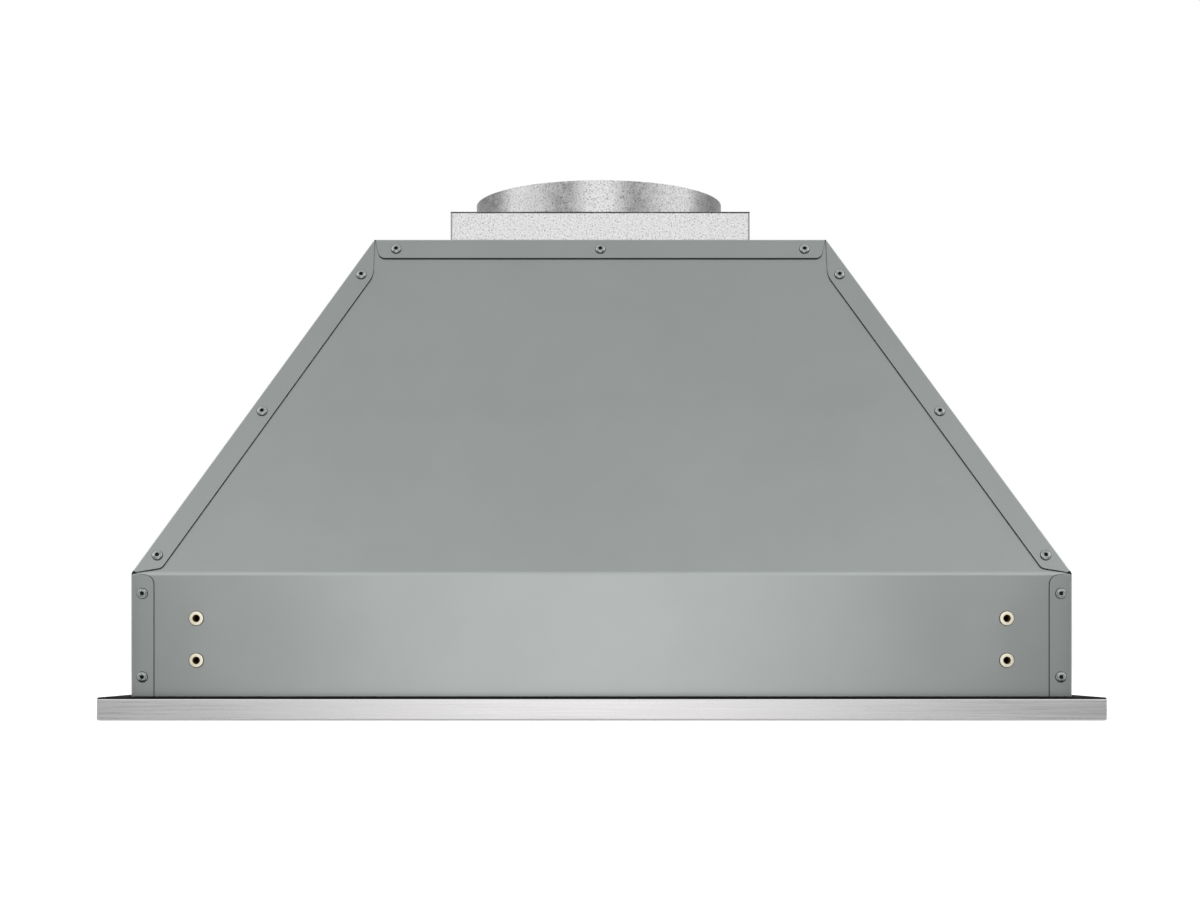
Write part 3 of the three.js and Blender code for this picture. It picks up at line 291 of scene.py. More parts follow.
def boardLaminate():
    # glass-fibre board under green solder mask, the copper tracks a shade lighter beneath it
    look = {"mask": "#1f5a38", "track": "#2f7a4c", "trackWidth": 3 * mm}
    material, tree, shader = newMaterial("board_laminate", look["mask"], 0.0, 0.35)
    cells = {"Vector": stretchedCoords(tree, [look["trackWidth"]] * 3), "Scale": 1.0}
    tracks = addNode(tree, "TexVoronoi", cells, distance="MANHATTAN").outputs["Distance"]
    stops = [(0.42, look["mask"]), (0.48, look["track"]), (0.62, look["track"]), (0.68, look["mask"])]
    feed(tree, shader, tones(tree, tracks, stops))
    bump(tree, shader, tracks, 0.02 * mm, 0.3)
    return material


def opalPolycarbonate():
    # opal diffuser: milky white with a soft gloss and a fine stipple that hides the lamps' chips
    material, tree, shader = newMaterial("opal_polycarbonate", "#f0f1ed", 0.0, 0.28)
    shader.inputs["IOR"].default_value = 1.58
    shader.inputs["Subsurface Weight"].default_value = 0.25
    shader.inputs["Subsurface Radius"].default_value = (2 * mm, 2 * mm, 2 * mm)
    shader.inputs["Subsurface Scale"].default_value = 1.0
    stipple = noise(tree, [0.8 * mm] * 3, 1.0)
    cloud = noise(tree, [12 * mm] * 3, 1.0)
    feed(tree, shader, tones(tree, cloud, [(0.3, "#ebece8"), (0.7, "#f4f4f1")]))
    bump(tree, shader, stipple, 0.03 * mm, 0.4)
    return material


satin = satinSheet()
cutEdgeShade = cutEdgeAndShadow()
brushedX = brushedSteel("brushed_steel_x", 0)
brushedY = brushedSteel("brushed_steel_y", 1)
galvanised = galvanisedSheet()
zincEdge = cutZincEdge("cut_zinc_edge", "#3d3e3f", "#5b5c5d")
zincFold = cutZincEdge("zinc_fold_edge", "#a8a9aa", "#c0c1c1")
rivetSteel = plainRivetSteel()
shadeBlack = paintedShadeBlack()
zinc = yellowZinc("yellow_zinc", 0.4, 0.25, "#fdece2", "#fdf6e0", "#f4f2cc")
# the thread's darker bronze tones are painted shade inside the nut's bore
shadedZincThread = yellowZinc("yellow_zinc_thread_painted_shade", 0.8, 0.35, "#8a6450", "#80683c", "#6c6434")
blackRubberAndShade = rubberAndShadeBlack()
wireSteel = drawnSteel("drawn_wire", "#c4c6c7", 0.18)
springLeaf = drawnSteel("spring_leaf", "#aeb1b3", 0.24)
lampTrim = drawnSteel("pressed_trim", "#d0d1d1", 0.27)
baffleSteel = brightStainless()
castAluminium = castAlloy()
blackAbs = mouldedPlastic("black_abs", "#232527", 0.45, "#292b2d", "#1f2123")
greyAbs = mouldedPlastic("grey_abs", "#8b8f92", 0.4, "#929699", "#858a8d")
nylon = mouldedPlastic("grey_nylon", "#9b9ea0", 0.42, "#a2a5a7", "#94979a")
boardGreen = boardLaminate()
opal = opalPolycarbonate()
print("materials made")


# ---- small helpers: meshes

def fillet(points, steps=5):
    # a path whose corners carry a radius as a third number, with each corner turned into an arc
    path = []
    for i, (x, y, *rest) in enumerate(points):
        radius = rest[0] if rest else 0
        corner = Vector((x, y))
        if radius == 0 or i in (0, len(points) - 1):
            path.append(corner)
            continue
        before = (Vector(points[i - 1][:2]) - corner).normalized()
        after = (Vector(points[i + 1][:2]) - corner).normalized()
        half = before.angle(after) / 2
        start = corner + before * radius / math.tan(half)
        middle = corner + (before + after).normalized() * radius / math.sin(half)
        turn = (start - middle).angle_signed(corner + after * radius / math.tan(half) - middle)
        for step in range(steps + 1):
            path.append(middle + Matrix.Rotation(-turn * step / steps, 2) @ (start - middle))
    return path


def thickened(path, thickness):
    # a closed outline: the path and its copy at the sheet's thickness on its left
    sides = [(b - a).normalized() for a, b in zip(path, path[1:])]
    normals = [Vector((-side.y, side.x)) for side in sides]
    other = []
    for i, point in enumerate(path):
        mitre = normals[max(i - 1, 0)] + normals[min(i, len(normals) - 1)]
        other.append(point + mitre * 2 * thickness / mitre.length_squared)
    return path + other[::-1]


def skin(bm, rows, closed=False, around=False, material=0):
    # quads between neighbouring rows of points
    made = [[bm.verts.new(point) for point in row] for row in rows]
    pairs = list(zip(made, made[1:])) + ([(made[-1], made[0])] if around else [])
    for near, far in pairs:
        count = len(near)
        for i in range(count if closed else count - 1):
            j = (i + 1) % count
            face = bm.faces.new((near[i], near[j], far[j], far[i]))
            face.material_index = material
    return made


def block(bm, low, high, sides=None):
    # sides gives single faces another material: 0 and 1 are -x and +x, 2 and 3 y, 4 and 5 z
    xs, ys, zs = zip(low, high)
    verts = [bm.verts.new((x, y, z)) for x in xs for y in ys for z in zs]
    quads = ((0, 1, 3, 2), (4, 6, 7, 5), (0, 4, 5, 1), (2, 3, 7, 6), (0, 2, 6, 4), (1, 5, 7, 3))
    for k, quad in enumerate(quads):
        bm.faces.new([verts[i] for i in quad]).material_index = (sides or {}).get(k, 0)


def lathe(bm, profile, steps, place=None, materials=None, shape=None):
    # turns a closed (radius, height) profile about z; a point on the axis becomes one vertex.
    # materials has a number for each side of the profile, and shape may change a radius with the angle
    place = place or Matrix.Identity(4)
    shape = shape or (lambda radius, height, angle: radius)
    rings = []
    for radius, height in profile:
        if radius < 1e-9:
            rings.append([bm.verts.new(place @ Vector((0, 0, height)))] * steps)
            continue
        angles = [2 * math.pi * i / steps for i in range(steps)]
        grown = [shape(radius, height, angle) for angle in angles]
        points = [Vector((r * math.cos(a), r * math.sin(a), height)) for r, a in zip(grown, angles)]
        rings.append([bm.verts.new(place @ point) for point in points])
    for k, (near, far) in enumerate(zip(rings, rings[1:] + rings[:1])):
        for i in range(steps):
            j = (i + 1) % steps
            corners = list(dict.fromkeys((near[i], near[j], far[j], far[i])))
            if len(corners) < 3:
                continue
            face = bm.faces.new(corners)
            face.material_index = materials[k] if materials else 0


def applyModifiers(obj):
    # the modifiers' result becomes the mesh
    graph = bpy.context.evaluated_depsgraph_get()
    mesh = bpy.data.meshes.new_from_object(obj.evaluated_get(graph))
    obj.modifiers.clear()
    old = obj.data
    obj.data = mesh
    bpy.data.meshes.remove(old)
    mesh.name = obj.name
    return mesh


def meshObject(name, bm):
    mesh = bpy.data.meshes.new(name)
    bm.to_mesh(mesh)
    bm.free()
    obj = bpy.data.objects.new(name, mesh)
    scene.collection.objects.link(obj)
    return obj


def makePiece(name, bm, bodyName, materials, nodes=(), sheet=0, chamfer=0, edgeMaterial=None,
              sharpAngle=35, chamferSteps=1, cutter=None):
    # a bmesh as a piece of the object; a sheet's thickness goes behind its faces, a cutter makes holes
    bmesh.ops.remove_doubles(bm, verts=bm.verts, dist=1e-7)
    bmesh.ops.dissolve_degenerate(bm, edges=bm.edges, dist=1e-7)
    if not sheet:
        bmesh.ops.recalc_face_normals(bm, faces=bm.faces)
    obj = meshObject(name, bm)
    for material in materials:
        obj.data.materials.append(material)
    if sheet:
        solidify = obj.modifiers.new("sheet", "SOLIDIFY")
        solidify.thickness = sheet
        solidify.offset = -1
        solidify.use_even_offset = True
        if edgeMaterial is not None:
            solidify.material_offset_rim = edgeMaterial
    if cutter:
        bmesh.ops.recalc_face_normals(cutter, faces=cutter.faces)
        rod = meshObject("cutter", cutter)
        boolean = obj.modifiers.new("hole", "BOOLEAN")
        boolean.operation = "DIFFERENCE"
        boolean.solver = "EXACT"
        boolean.object = rod
    if chamfer:
        bevel = obj.modifiers.new("chamfer", "BEVEL")
        bevel.width = chamfer
        bevel.segments = chamferSteps
        bevel.angle_limit = math.radians(50)
        bevel.use_clamp_overlap = True
        if edgeMaterial is not None:
            bevel.material = edgeMaterial
    mesh = applyModifiers(obj)
    if cutter:
        rodMesh = rod.data
        bpy.data.objects.remove(rod)
        bpy.data.meshes.remove(rodMesh)
    # folds stay smooth, cut edges crisp, and flat faces flat right up to their folds
    mesh.shade_smooth()
    mesh.set_sharp_from_angle(angle=math.radians(sharpAngle))
    weights = obj.modifiers.new("weights", "WEIGHTED_NORMAL")
    weights.keep_sharp = True
    applyModifiers(obj)
    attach(obj, bodyName)
    if nodes:
        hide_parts(*nodes)


def placed(bm, start, matrix):
    # moves what was added to the mesh since it had `start` vertices
    bm.verts.ensure_lookup_table()
    bmesh.ops.transform(bm, matrix=matrix, verts=bm.verts[start:])


def along(axis, spot=(0, 0, 0)):
    # turns +z to another axis, and then moves to a spot
    turns = {"x": Matrix.Rotation(math.pi / 2, 4, "Y"), "-y": Matrix.Rotation(math.pi / 2, 4, "X"),
             "-z": Matrix.Rotation(math.pi, 4, "X")}
    return Matrix.Translation(spot) @ turns[axis]


def prism(bm, path, low, high, axis):
    # a closed outline as a solid between two places on an axis
    rows = []
    for place in (low, high):
        if axis == "x":
            rows.append([(place, a, b) for a, b in path])
        elif axis == "y":
            rows.append([(a, place, b) for a, b in path])
        else:
            rows.append([(a, b, place) for a, b in path])
    made = skin(bm, rows, closed=True)
    for row in made:
        bm.faces.new(row)


def pipe(bm, path, radius, sides=20):
    # a round wire along a smooth path, closed at both ends
    points = [Vector(point) for point in path]
    way = (points[1] - points[0]).normalized()
    across = way.orthogonal().normalized()
    rows = []
    for i, point in enumerate(points):
        ahead = (points[min(i + 1, len(points) - 1)] - points[max(i - 1, 0)]).normalized()
        across = (across - ahead * across.dot(ahead)).normalized()
        other = ahead.cross(across)
        angles = [2 * math.pi * k / sides for k in range(sides)]
        rows.append([point + (across * math.cos(a) + other * math.sin(a)) * radius for a in angles])
    made = skin(bm, rows, closed=True)
    for row in (made[0], made[-1]):
        bm.faces.new(row)


def roundedPlate(halfX, halfY, radius, steps):
    # the outline of a plate with round corners, from the middle of its lower side all the way round
    path = [(0, -halfY), (halfX, -halfY, radius), (halfX, halfY, radius), (-halfX, halfY, radius),
            (-halfX, -halfY, radius), (0, -halfY)]
    return fillet(path, steps)[:-1]


def finishNode(name, material, chamfer, steps=2):
    # a CAD solid that keeps its shape: real finish, and its sharp edges a little broken
    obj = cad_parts[name]
    obj.data.materials.clear()
    obj.data.materials.append(material)
    weld = obj.modifiers.new("weld", "WELD")
    weld.merge_threshold = 1e-6
    bevel = obj.modifiers.new("chamfer", "BEVEL")
    bevel.width = chamfer
    bevel.segments = steps
    bevel.angle_limit = math.radians(40)
    bevel.use_clamp_overlap = True


# ---- camera, as the photograph: level, square on, a little above the flange

view = {"x": -0.015, "distance": 1.7225, "height": 0.0449, "lens": 63, "sensor": 36,
        "shiftX": 0.0162, "shiftY": 0.1722}
cameraData = bpy.data.cameras.new("camera")
camera = bpy.data.objects.new("camera", cameraData)
scene.collection.objects.link(camera)
camera.location = (view["x"], -view["distance"], view["height"])
camera.rotation_euler = (math.radians(90), 0, 0)
cameraData.lens = view["lens"]
cameraData.sensor_width = view["sensor"]
cameraData.shift_x = view["shiftX"]
cameraData.shift_y = view["shiftY"]
scene.camera = camera


# ---- bottom flange: one sheet folded to a lip and a ledge, mitred at the corners

flange = {"sheet": 1.2 * mm, "lip": 15.9 * mm, "face": 50 * mm, "ledge": 36 * mm, "seatEdge": 19.7 * mm,
          "seatDrop": 0.3 * mm, "fold": 1.6 * mm, "corner": 0.5 * mm}
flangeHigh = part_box("bottom_flange")[1]


def mitredFrame(bm, profile, halfX, halfY, corner, steps=3):
    # sweeps a (distance in from the edge, height) outline round a rectangle
    stations = []
    for quarter, (sx, sy) in enumerate([(1, 1), (-1, 1), (-1, -1), (1, -1)]):
        for step in range(steps + 1):
            stations.append((sx, sy, math.radians(90 * (quarter + step / steps))))
    rows = []
    for sx, sy, angle in stations:
        row = []
        for inward, height in profile:
            radius = max(corner - inward, 0)
            centre = max(corner, inward)
            x = sx * (halfX - centre) + radius * math.cos(angle)
            y = sy * (halfY - centre) + radius * math.sin(angle)
            row.append((x, y, height))
        rows.append(row)
    skin(bm, rows, closed=True, around=True)
    for face in bm.faces:  # the grain turns the corner at the mitre
        middle = face.calc_center_median()
        onEnd = abs(middle.x) - halfX > abs(middle.y) - halfY
        face.material_index = 1 if onEnd else 0


def buildFlange():
    bm = bmesh.new()
    seat = flange["lip"] - flange["seatDrop"]
    path = fillet([
        (flange["ledge"], seat),
        (flange["seatEdge"] + 1.0 * mm, seat),
        (flange["seatEdge"], flange["lip"]),
        (0, flange["lip"], flange["fold"]),
        (0, 0, 0.8 * flange["fold"]),
        (flange["face"], 0, flange["fold"]),
        (flange["face"], flangeHigh.z),
    ])
    outline = thickened(path, flange["sheet"])
    mitredFrame(bm, outline, flangeHigh.x, flangeHigh.y, flange["corner"])
    makePiece("flange_frame", bm, "housing", [brushedX, brushedY], ["bottom_flange"])


def buildLedgeShadeTape():
    # a flat black ring shaped as rubber tape on the ledge, with its outer edge turned down over the fold:
    # painted shade on the ledge, and its bead at the inner edge a painted shadow at the panels' foot
    shadeTape = {"thickness": 0.35 * mm, "outer": 0.15 * mm, "turn": 0.85 * mm, "inner": 19.2 * mm,
            "bead": 0.35 * mm}
    bm = bmesh.new()
    lip, outer, inner = flange["lip"], shadeTape["outer"], shadeTape["inner"]
    top = lip + shadeTape["thickness"]
    foot = lip - shadeTape["turn"]
    outline = [(outer + 0.5 * mm, foot), (outer, foot), (outer + 0.05 * mm, lip - 0.45 * mm),
               (outer + 0.4 * mm, lip), (outer + 0.9 * mm, top), (inner - 3 * shadeTape["bead"], top),
               (inner - shadeTape["bead"], top + shadeTape["bead"]), (inner, top + shadeTape["bead"]), (inner, lip)]
    mitredFrame(bm, outline, flangeHigh.x, flangeHigh.y, flange["corner"])
    makePiece("ledge_shade_tape", bm, "housing", [blackRubberAndShade, blackRubberAndShade])


buildFlange()
buildLedgeShadeTape()
print("flange built")


# ---- body: panels, strips and roof

sideLow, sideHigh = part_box("right_side_panel")
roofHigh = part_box("roof_panel")[1]
body = {"sheet": 1 * mm, "gap": 0.3 * mm, "foot": sideLow.z, "bend": 104.5 * mm, "bendBlend": 1.6 * mm,
        "roof": roofHigh.z, "underRoof": sideHigh.z, "corner": 1.1 * mm, "strip": 16 * mm,
        "roofStrip": 15.2 * mm, "stripCorner": 5 * mm, "skirtCorner": 7 * mm, "relief": 0.4 * mm,
        "skirtFall": 1.8 * mm, "slopeRise": 3.9 * mm, "roofSlant": 3.6 * mm, "edgeChamfer": 0.28 * mm}
wide = {"base": sideHigh.x, "roof": roofHigh.x}
deep = {"base": -sideLow.y, "roof": 125 * mm}
skinInset = body["sheet"] + body["gap"]


def lean(wall):
    return math.atan((wall["base"] - wall["roof"]) / (body["roof"] - body["bend"]))


def leaningFace(wall, inset, z):
    return wall["base"] - inset / math.cos(lean(wall)) - (z - body["bend"]) * math.tan(lean(wall))


def wallAt(wall, inset, z):
    # how far from the middle a wall's face is at a height, with a soft bend
    bend = body["bend"] - inset * math.tan(lean(wall) / 2)
    blend = body["bendBlend"]
    above = z - bend
    if above < -blend:
        travel = 0
    elif above < blend:
        travel = (above + blend) ** 2 / (4 * blend)
    else:
        travel = above
    return wall["base"] - inset - travel * math.tan(lean(wall))


def roundedCorner(before, corner, after, size, steps=6):
    # a quadratic curve that rounds the corner off over the given length
    before, corner, after = Vector(before), Vector(corner), Vector(after)
    start = corner + (before - corner).normalized() * size
    end = corner + (after - corner).normalized() * size
    points = []
    for i in range(steps + 1):
        t = i / steps
        points.append(start * (1 - t) ** 2 + corner * 2 * t * (1 - t) + end * t ** 2)
    return points


def skirtStripEdge():
    # inner edge of the strip on the upright part, from the foot up to the bend
    inner = wide["base"] - body["strip"]
    low = (inner, body["foot"])
    turn = (inner, body["bend"] - body["skirtFall"])
    top = (wide["base"] - body["corner"], body["bend"] - body["relief"])
    return [Vector(low)] + roundedCorner(low, turn, top, body["skirtCorner"]) + [Vector(top)]


def slopeStripEdge():
    # the same on the leaning part, from the bend up to the roof
    cutX = wide["roof"] - body["relief"]
    lowZ = body["bend"] + body["slopeRise"]
    slope = lean(wide)
    highZ = body["bend"] + (wide["base"] - body["strip"] / math.cos(slope) - cutX) / math.tan(slope)
    start = (wide["base"] - body["corner"], body["bend"] + body["relief"])
    low = (leaningFace(wide, body["strip"], lowZ), lowZ)
    high = (cutX, highZ)
    top = (cutX, body["underRoof"])
    lowTurn = roundedCorner(start, low, high, body["stripCorner"] / 2)
    highTurn = roundedCorner(low, high, top, body["stripCorner"])
    return [Vector(start)] + lowTurn + highTurn + [Vector(top)]


def edgeAt(path, z):
    for low, high in zip(path, path[1:]):
        if low.y - 1e-6 <= z <= high.y + 1e-6 and high.y > low.y:
            return low.x + (high.x - low.x) * (z - low.y) / (high.y - low.y)
    return None


def spacedHeights(paths):
    # rows close together where the outline turns, and at the bend
    heights = {round(point.y, 7) for path in paths for point in path}
    for step in range(-6, 7):
        heights.add(round(body["bend"] + step * body["bendBlend"] / 5, 7))
    for low, high in ((body["foot"], body["bend"]), (body["bend"], body["underRoof"])):
        for i in range(1, 8):
            heights.add(round(low + (high - low) * i / 8, 7))
    slack = 1e-6
    return sorted(z for z in heights if body["foot"] - slack <= z <= body["underRoof"] + slack)


def buildSidePanel(side, name):
    paths = [skirtStripEdge(), slopeStripEdge()]
    corner = body["corner"]
    rows = []
    for z in spacedHeights(paths):
        halfX = wallAt(wide, 0, z)
        halfY = wallAt(deep, 0, z)
        ends = [edge for edge in (edgeAt(path, z) for path in paths) if edge is not None]
        inner = min([halfX - corner] + ends)
        front = [(inner, -halfY), ((inner + halfX - corner) / 2, -halfY)]
        for step in range(5):
            turn = math.radians(90 * step / 4)
            x = halfX - corner + corner * math.sin(turn)
            front.append((x, -halfY + corner - corner * math.cos(turn)))
        flank = [(halfX, halfY * share) for share in (-0.6, -0.2, 0.2, 0.6)]
        row = front + flank + [(x, -y) for x, y in reversed(front)]
        rows.append([(side * x, y, z) for x, y in row])
    bm = bmesh.new()
    skin(bm, rows[::-1] if side < 0 else rows)
    # the dark edge material on the rims and chamfers paints the shadow line along the strips' edges
    makePiece(name + "_side_sheet", bm, "housing", [satin, cutEdgeShade], [name + "_side_panel"],
              sheet=body["sheet"], chamfer=body["edgeChamfer"], edgeMaterial=1)


def panelWave(x, z):
    # the faint waviness of a large flat sheet, and one soft crease across the slope
    wave = 0.16 * mm * math.sin(x / (74 * mm) + 1.1) * math.sin(z / (61 * mm) + 0.4)
    wave += 0.10 * mm * math.sin(x / (31 * mm) + z / (47 * mm))
    crease = 0.12 * mm * math.exp(-((z - 222 * mm - 0.02 * x) / (7 * mm)) ** 2)
    return wave + crease


nutSpots = []
for i in range(1, 5):
    nutLow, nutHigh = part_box(f"rivet_nut_{i}")
    nutSpots.append((nutLow + nutHigh) / 2)
nutCell = 7 * mm  # half of the square that is cut out round a nut's hole
nutHole = 4.1 * mm


def buildFacePanel(side, name, holes):
    # one sheet from foot to roof, behind the strips; it narrows with the slope
    baseHalf = wide["base"] - skinInset
    across = {-1.0, 1.0}
    heights = {body["foot"], body["underRoof"]}
    for spot in holes:
        across |= {(spot.x - nutCell) / baseHalf, (spot.x + nutCell) / baseHalf}
        heights |= {spot.z - nutCell, spot.z + nutCell}
    marks = sorted(across)
    for low, high in zip(marks, marks[1:]):
        count = max(1, round((high - low) / 0.045))
        across |= {low + (high - low) * i / count for i in range(count)}
    for i in range(-6, 7):
        heights.add(body["bend"] - 0.25 * mm + i * body["bendBlend"] / 5)
    marks = sorted(heights)
    for low, high in zip(marks, marks[1:]):
        count = max(1, round((high - low) / (9 * mm)))
        heights |= {low + (high - low) * i / count for i in range(count)}
    across = sorted(across)
    rows = []
    for z in sorted(heights):
        halfX = wallAt(wide, skinInset, z)
        halfY = wallAt(deep, skinInset, z)
        edge = min(1, max(0, (z - body["foot"]) / (30 * mm)), max(0, (body["underRoof"] - z) / (40 * mm)))
        row = []
        for share in across:
            fromSide = min(1, (1 - abs(share)) * halfX / (50 * mm))
            x = share * halfX
            nearHole = min([1] + [max(abs(x - spot.x), abs(z - spot.z)) / (20 * mm) - 0.4 for spot in holes])
            wave = panelWave(x, z) * edge * fromSide ** 2 * max(0, nearHole)
            row.append((x, side * (halfY + wave), z))
        rows.append(row)
    bm = bmesh.new()
    skin(bm, rows if side < 0 else rows[::-1])
    bm.faces.ensure_lookup_table()
    for spot in holes:
        cutRoundHole(bm, spot)
    makePiece(name + "_face_sheet", bm, "housing", [satin, cutEdgeShade], [name + "_panel"],
              sheet=body["sheet"], edgeMaterial=1)


def cutRoundHole(bm, spot, steps=40):
    # swaps the square cells round a spot for faces that leave a round hole
    def turnOf(vert):
        return math.atan2(vert.co.z - spot.z, vert.co.x - spot.x)

    inside = []
    for face in bm.faces:
        middle = face.calc_center_median()
        if abs(middle.x - spot.x) < nutCell and abs(middle.z - spot.z) < nutCell:
            inside.append(face)
    y = inside[0].calc_center_median().y
    edges = {edge for face in inside for edge in face.edges}
    rim = [edge for edge in edges if sum(face in inside for face in edge.link_faces) == 1]
    outer = sorted({vert for edge in rim for vert in edge.verts}, key=turnOf)
    bmesh.ops.delete(bm, geom=inside, context="FACES_KEEP_BOUNDARY")
    ring = []
    for i in range(steps):
        angle = -math.pi + 2 * math.pi * (i + 0.5) / steps
        ring.append(bm.verts.new((spot.x + nutHole * math.cos(angle), y, spot.z + nutHole * math.sin(angle))))
    ringTurns = [turnOf(vert) for vert in ring]
    nearest = []
    for vert in outer:
        gaps = [abs(math.remainder(turn - turnOf(vert), 2 * math.pi)) for turn in ringTurns]
        nearest.append(gaps.index(min(gaps)))
    for i, vert in enumerate(outer):
        j = (i + 1) % len(outer)
        start, end = nearest[i], nearest[j]
        run = [ring[(start + k) % steps] for k in range((end - start) % steps + 1)]
        corners = [outer[j], vert] + run if len(run) == 1 else [vert, outer[j]] + run[::-1]
        bm.faces.new(corners)


def roofStripEnd(z):
    # half the roof strip's length at a height: its ends slant and its lower corners are round
    end = wide["roof"] - 2 * body["relief"]
    low = body["roof"] - body["roofStrip"]
    top = (end, body["roof"])
    corner = (end - body["roofSlant"], low)
    path = [Vector(top)] + roundedCorner(top, corner, (0, low), body["stripCorner"], 8)
    path = path[::-1]
    if z <= path[0].y + 1e-9:
        return path[0].x
    return edgeAt(path, z) or end


def buildRoof():
    # folded down front and rear to a strip; the plate has the blower's outlet
    outlet = {"halfX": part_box("scroll_wrapper")[1].x, "y0": -11.2 * mm, "y1": 73 * mm}
    low = body["roof"] - body["roofStrip"]
    heights = [low + 0.02 * mm, low + 0.3 * mm, low + 0.8 * mm, low + 1.6 * mm, low + 2.6 * mm, low + 4 * mm,
               low + 5.5 * mm, low + 9 * mm]
    fold = 1.5 * mm
    path = [(-leaningFace(deep, 0, z), z) for z in heights]
    foot = -leaningFace(deep, 0, low)
    crown = fillet([(foot, low), (-deep["roof"], body["roof"], fold), (0, body["roof"])])
    path += [tuple(point) for point in crown[1:-1]]
    flat = [-90 * mm, -50 * mm, outlet["y0"], 30 * mm, outlet["y1"], 100 * mm]
    half = path[:]
    path += [(y, body["roof"]) for y in flat]
    path += [(-y, z) for y, z in reversed(half)]
    rows = []
    for y, z in path:
        end = wide["roof"] if z > body["roof"] - 0.2 * mm else roofStripEnd(z)
        inner = [outlet["halfX"] * share for share in (-1, -0.33, 0.33, 1)]
        xs = [-end, -end + 4 * mm, -110 * mm] + inner + [110 * mm, end - 4 * mm, end]
        rows.append([(x, y, z) for x in xs])
    bm = bmesh.new()
    skin(bm, rows)
    gone = []
    for face in bm.faces:
        middle = face.calc_center_median()
        inX = abs(middle.x) < outlet["halfX"]
        inY = outlet["y0"] < middle.y < outlet["y1"]
        if inX and inY and middle.z > body["roof"] - 0.1 * mm:
            gone.append(face)
    bmesh.ops.delete(bm, geom=gone, context="FACES")
    # the dark edge material on the rims and chamfers paints the shadow line along the roof strips' edges
    makePiece("roof_sheet", bm, "housing", [satin, cutEdgeShade], ["roof_panel"],
              sheet=body["sheet"], chamfer=body["edgeChamfer"], edgeMaterial=1)


def fourfold(bm, section):
    # a closed bar through rows of points, repeated at the body's four upright corners
    for side in (-1, 1):
        for face in (-1, 1):
            rows = [[(side * x, face * y, z) for x, y, z in row] for row in section]
            made = skin(bm, rows[::-1] if side * face > 0 else rows, closed=True)
            bm.faces.new(made[0][::-1])
            bm.faces.new(made[-1])


def buildBendReliefShades():
    # a small black piece at each outer end of the bend, where the strips were cut apart before folding:
    # painted shade of the relief notch
    notch = {"width": 2.4 * mm, "below": 1.0 * mm, "above": 1.7 * mm, "proud": 0.06 * mm, "deep": 1.2 * mm}
    section = []
    for step in range(7):
        z = body["bend"] - notch["below"] + (notch["below"] + notch["above"]) * step / 6
        outer = wallAt(wide, 0, z) - 0.2 * mm
        inner = outer - notch["width"] * math.sin(math.pi * step / 6) ** 0.5
        front = wallAt(deep, 0, z) + notch["proud"]
        back = front - notch["deep"]
        section.append([(inner, front, z), (outer, front, z), (outer, back, z), (outer - 0.3 * mm, back, z)])
    bm = bmesh.new()
    fourfold(bm, section)
    makePiece("bend_relief_shades", bm, "housing", [shadeBlack])


def buildLapShadowStrips():
    # a thin black strip beside the inner edge of the strips on the upright part: painted shadow of the gap
    # under the lap
    gap = {"width": 0.34 * mm, "under": 0.4 * mm, "proud": 0.06 * mm, "deep": 0.3 * mm}
    path = skirtStripEdge()
    path[-1] = path[-2].lerp(path[-1], 0.85)
    section = []
    for i, point in enumerate(path):
        heading = (path[min(i + 1, len(path) - 1)] - path[max(i - 1, 0)]).normalized()
        inward = Vector((-heading.y, heading.x))
        far = point + inward * gap["width"]
        near = point - inward * gap["under"]
        farY, nearY = (wallAt(deep, skinInset, spot.y) + gap["proud"] for spot in (far, near))
        section.append([(far.x, farY, far.y), (near.x, nearY, near.y), (near.x, nearY - gap["deep"], near.y),
                        (far.x, farY - gap["deep"], far.y)])
    bm = bmesh.new()
    fourfold(bm, section)
    makePiece("lap_shadow_strips", bm, "housing", [shadeBlack])


buildSidePanel(-1, "left")
buildSidePanel(1, "right")
buildBendReliefShades()
buildLapShadowStrips()
buildFacePanel(-1, "front", nutSpots)
buildFacePanel(1, "rear", [])
buildRoof()
print("body built")


# ---- blind rivets and rivet nuts

def ringOfHeights(profile):
    return [(radius * mm, height * mm) for radius, height in profile]


def outward(spot, tilt, rear=False):
    # turns +z to a face's outward side: forwards and up by the face's lean, or the same to the rear
    turn = Matrix.Rotation(math.pi / 2 - tilt, 4, "X")
    return Matrix.Translation(spot) @ (Matrix.Rotation(math.pi, 4, "Z") @ turn if rear else turn)


def buildRivet(name, place, nodes):
    # mm: bulb behind the sheets, shank, domed head and the mandrel's hole
    metal = [(0, -6.6), (2.5, -6.6), (2.9, -6.1), (2.9, -3.0), (2.4, -2.6), (2.0, -2.5), (2.0, 0.3),
             (3.9, 0.3), (4.0, 0.42), (3.95, 0.6), (3.6, 0.86), (3.0, 1.14), (2.3, 1.38), (1.75, 1.5),
             (1.5, 1.46)]
    hole = [(1.34, 1.25), (1.3, 0.4), (0, 0.4)]
    bm = bmesh.new()
    # material 1 paints the mandrel's hole near-black as shade; material 2, the dark edge material on the
    # head's rim, is a painted shadow outlining the head
    rim = metal.index((3.9, 0.3))
    looks = [2 if rim - 1 <= k <= rim + 2 else 0 for k in range(len(metal) - 1)] + [1] * (len(hole) + 1)
    lathe(bm, ringOfHeights(metal + hole), 32, place, looks)
    makePiece(name, bm, "housing", [rivetSteel, shadeBlack, cutEdgeShade], nodes)


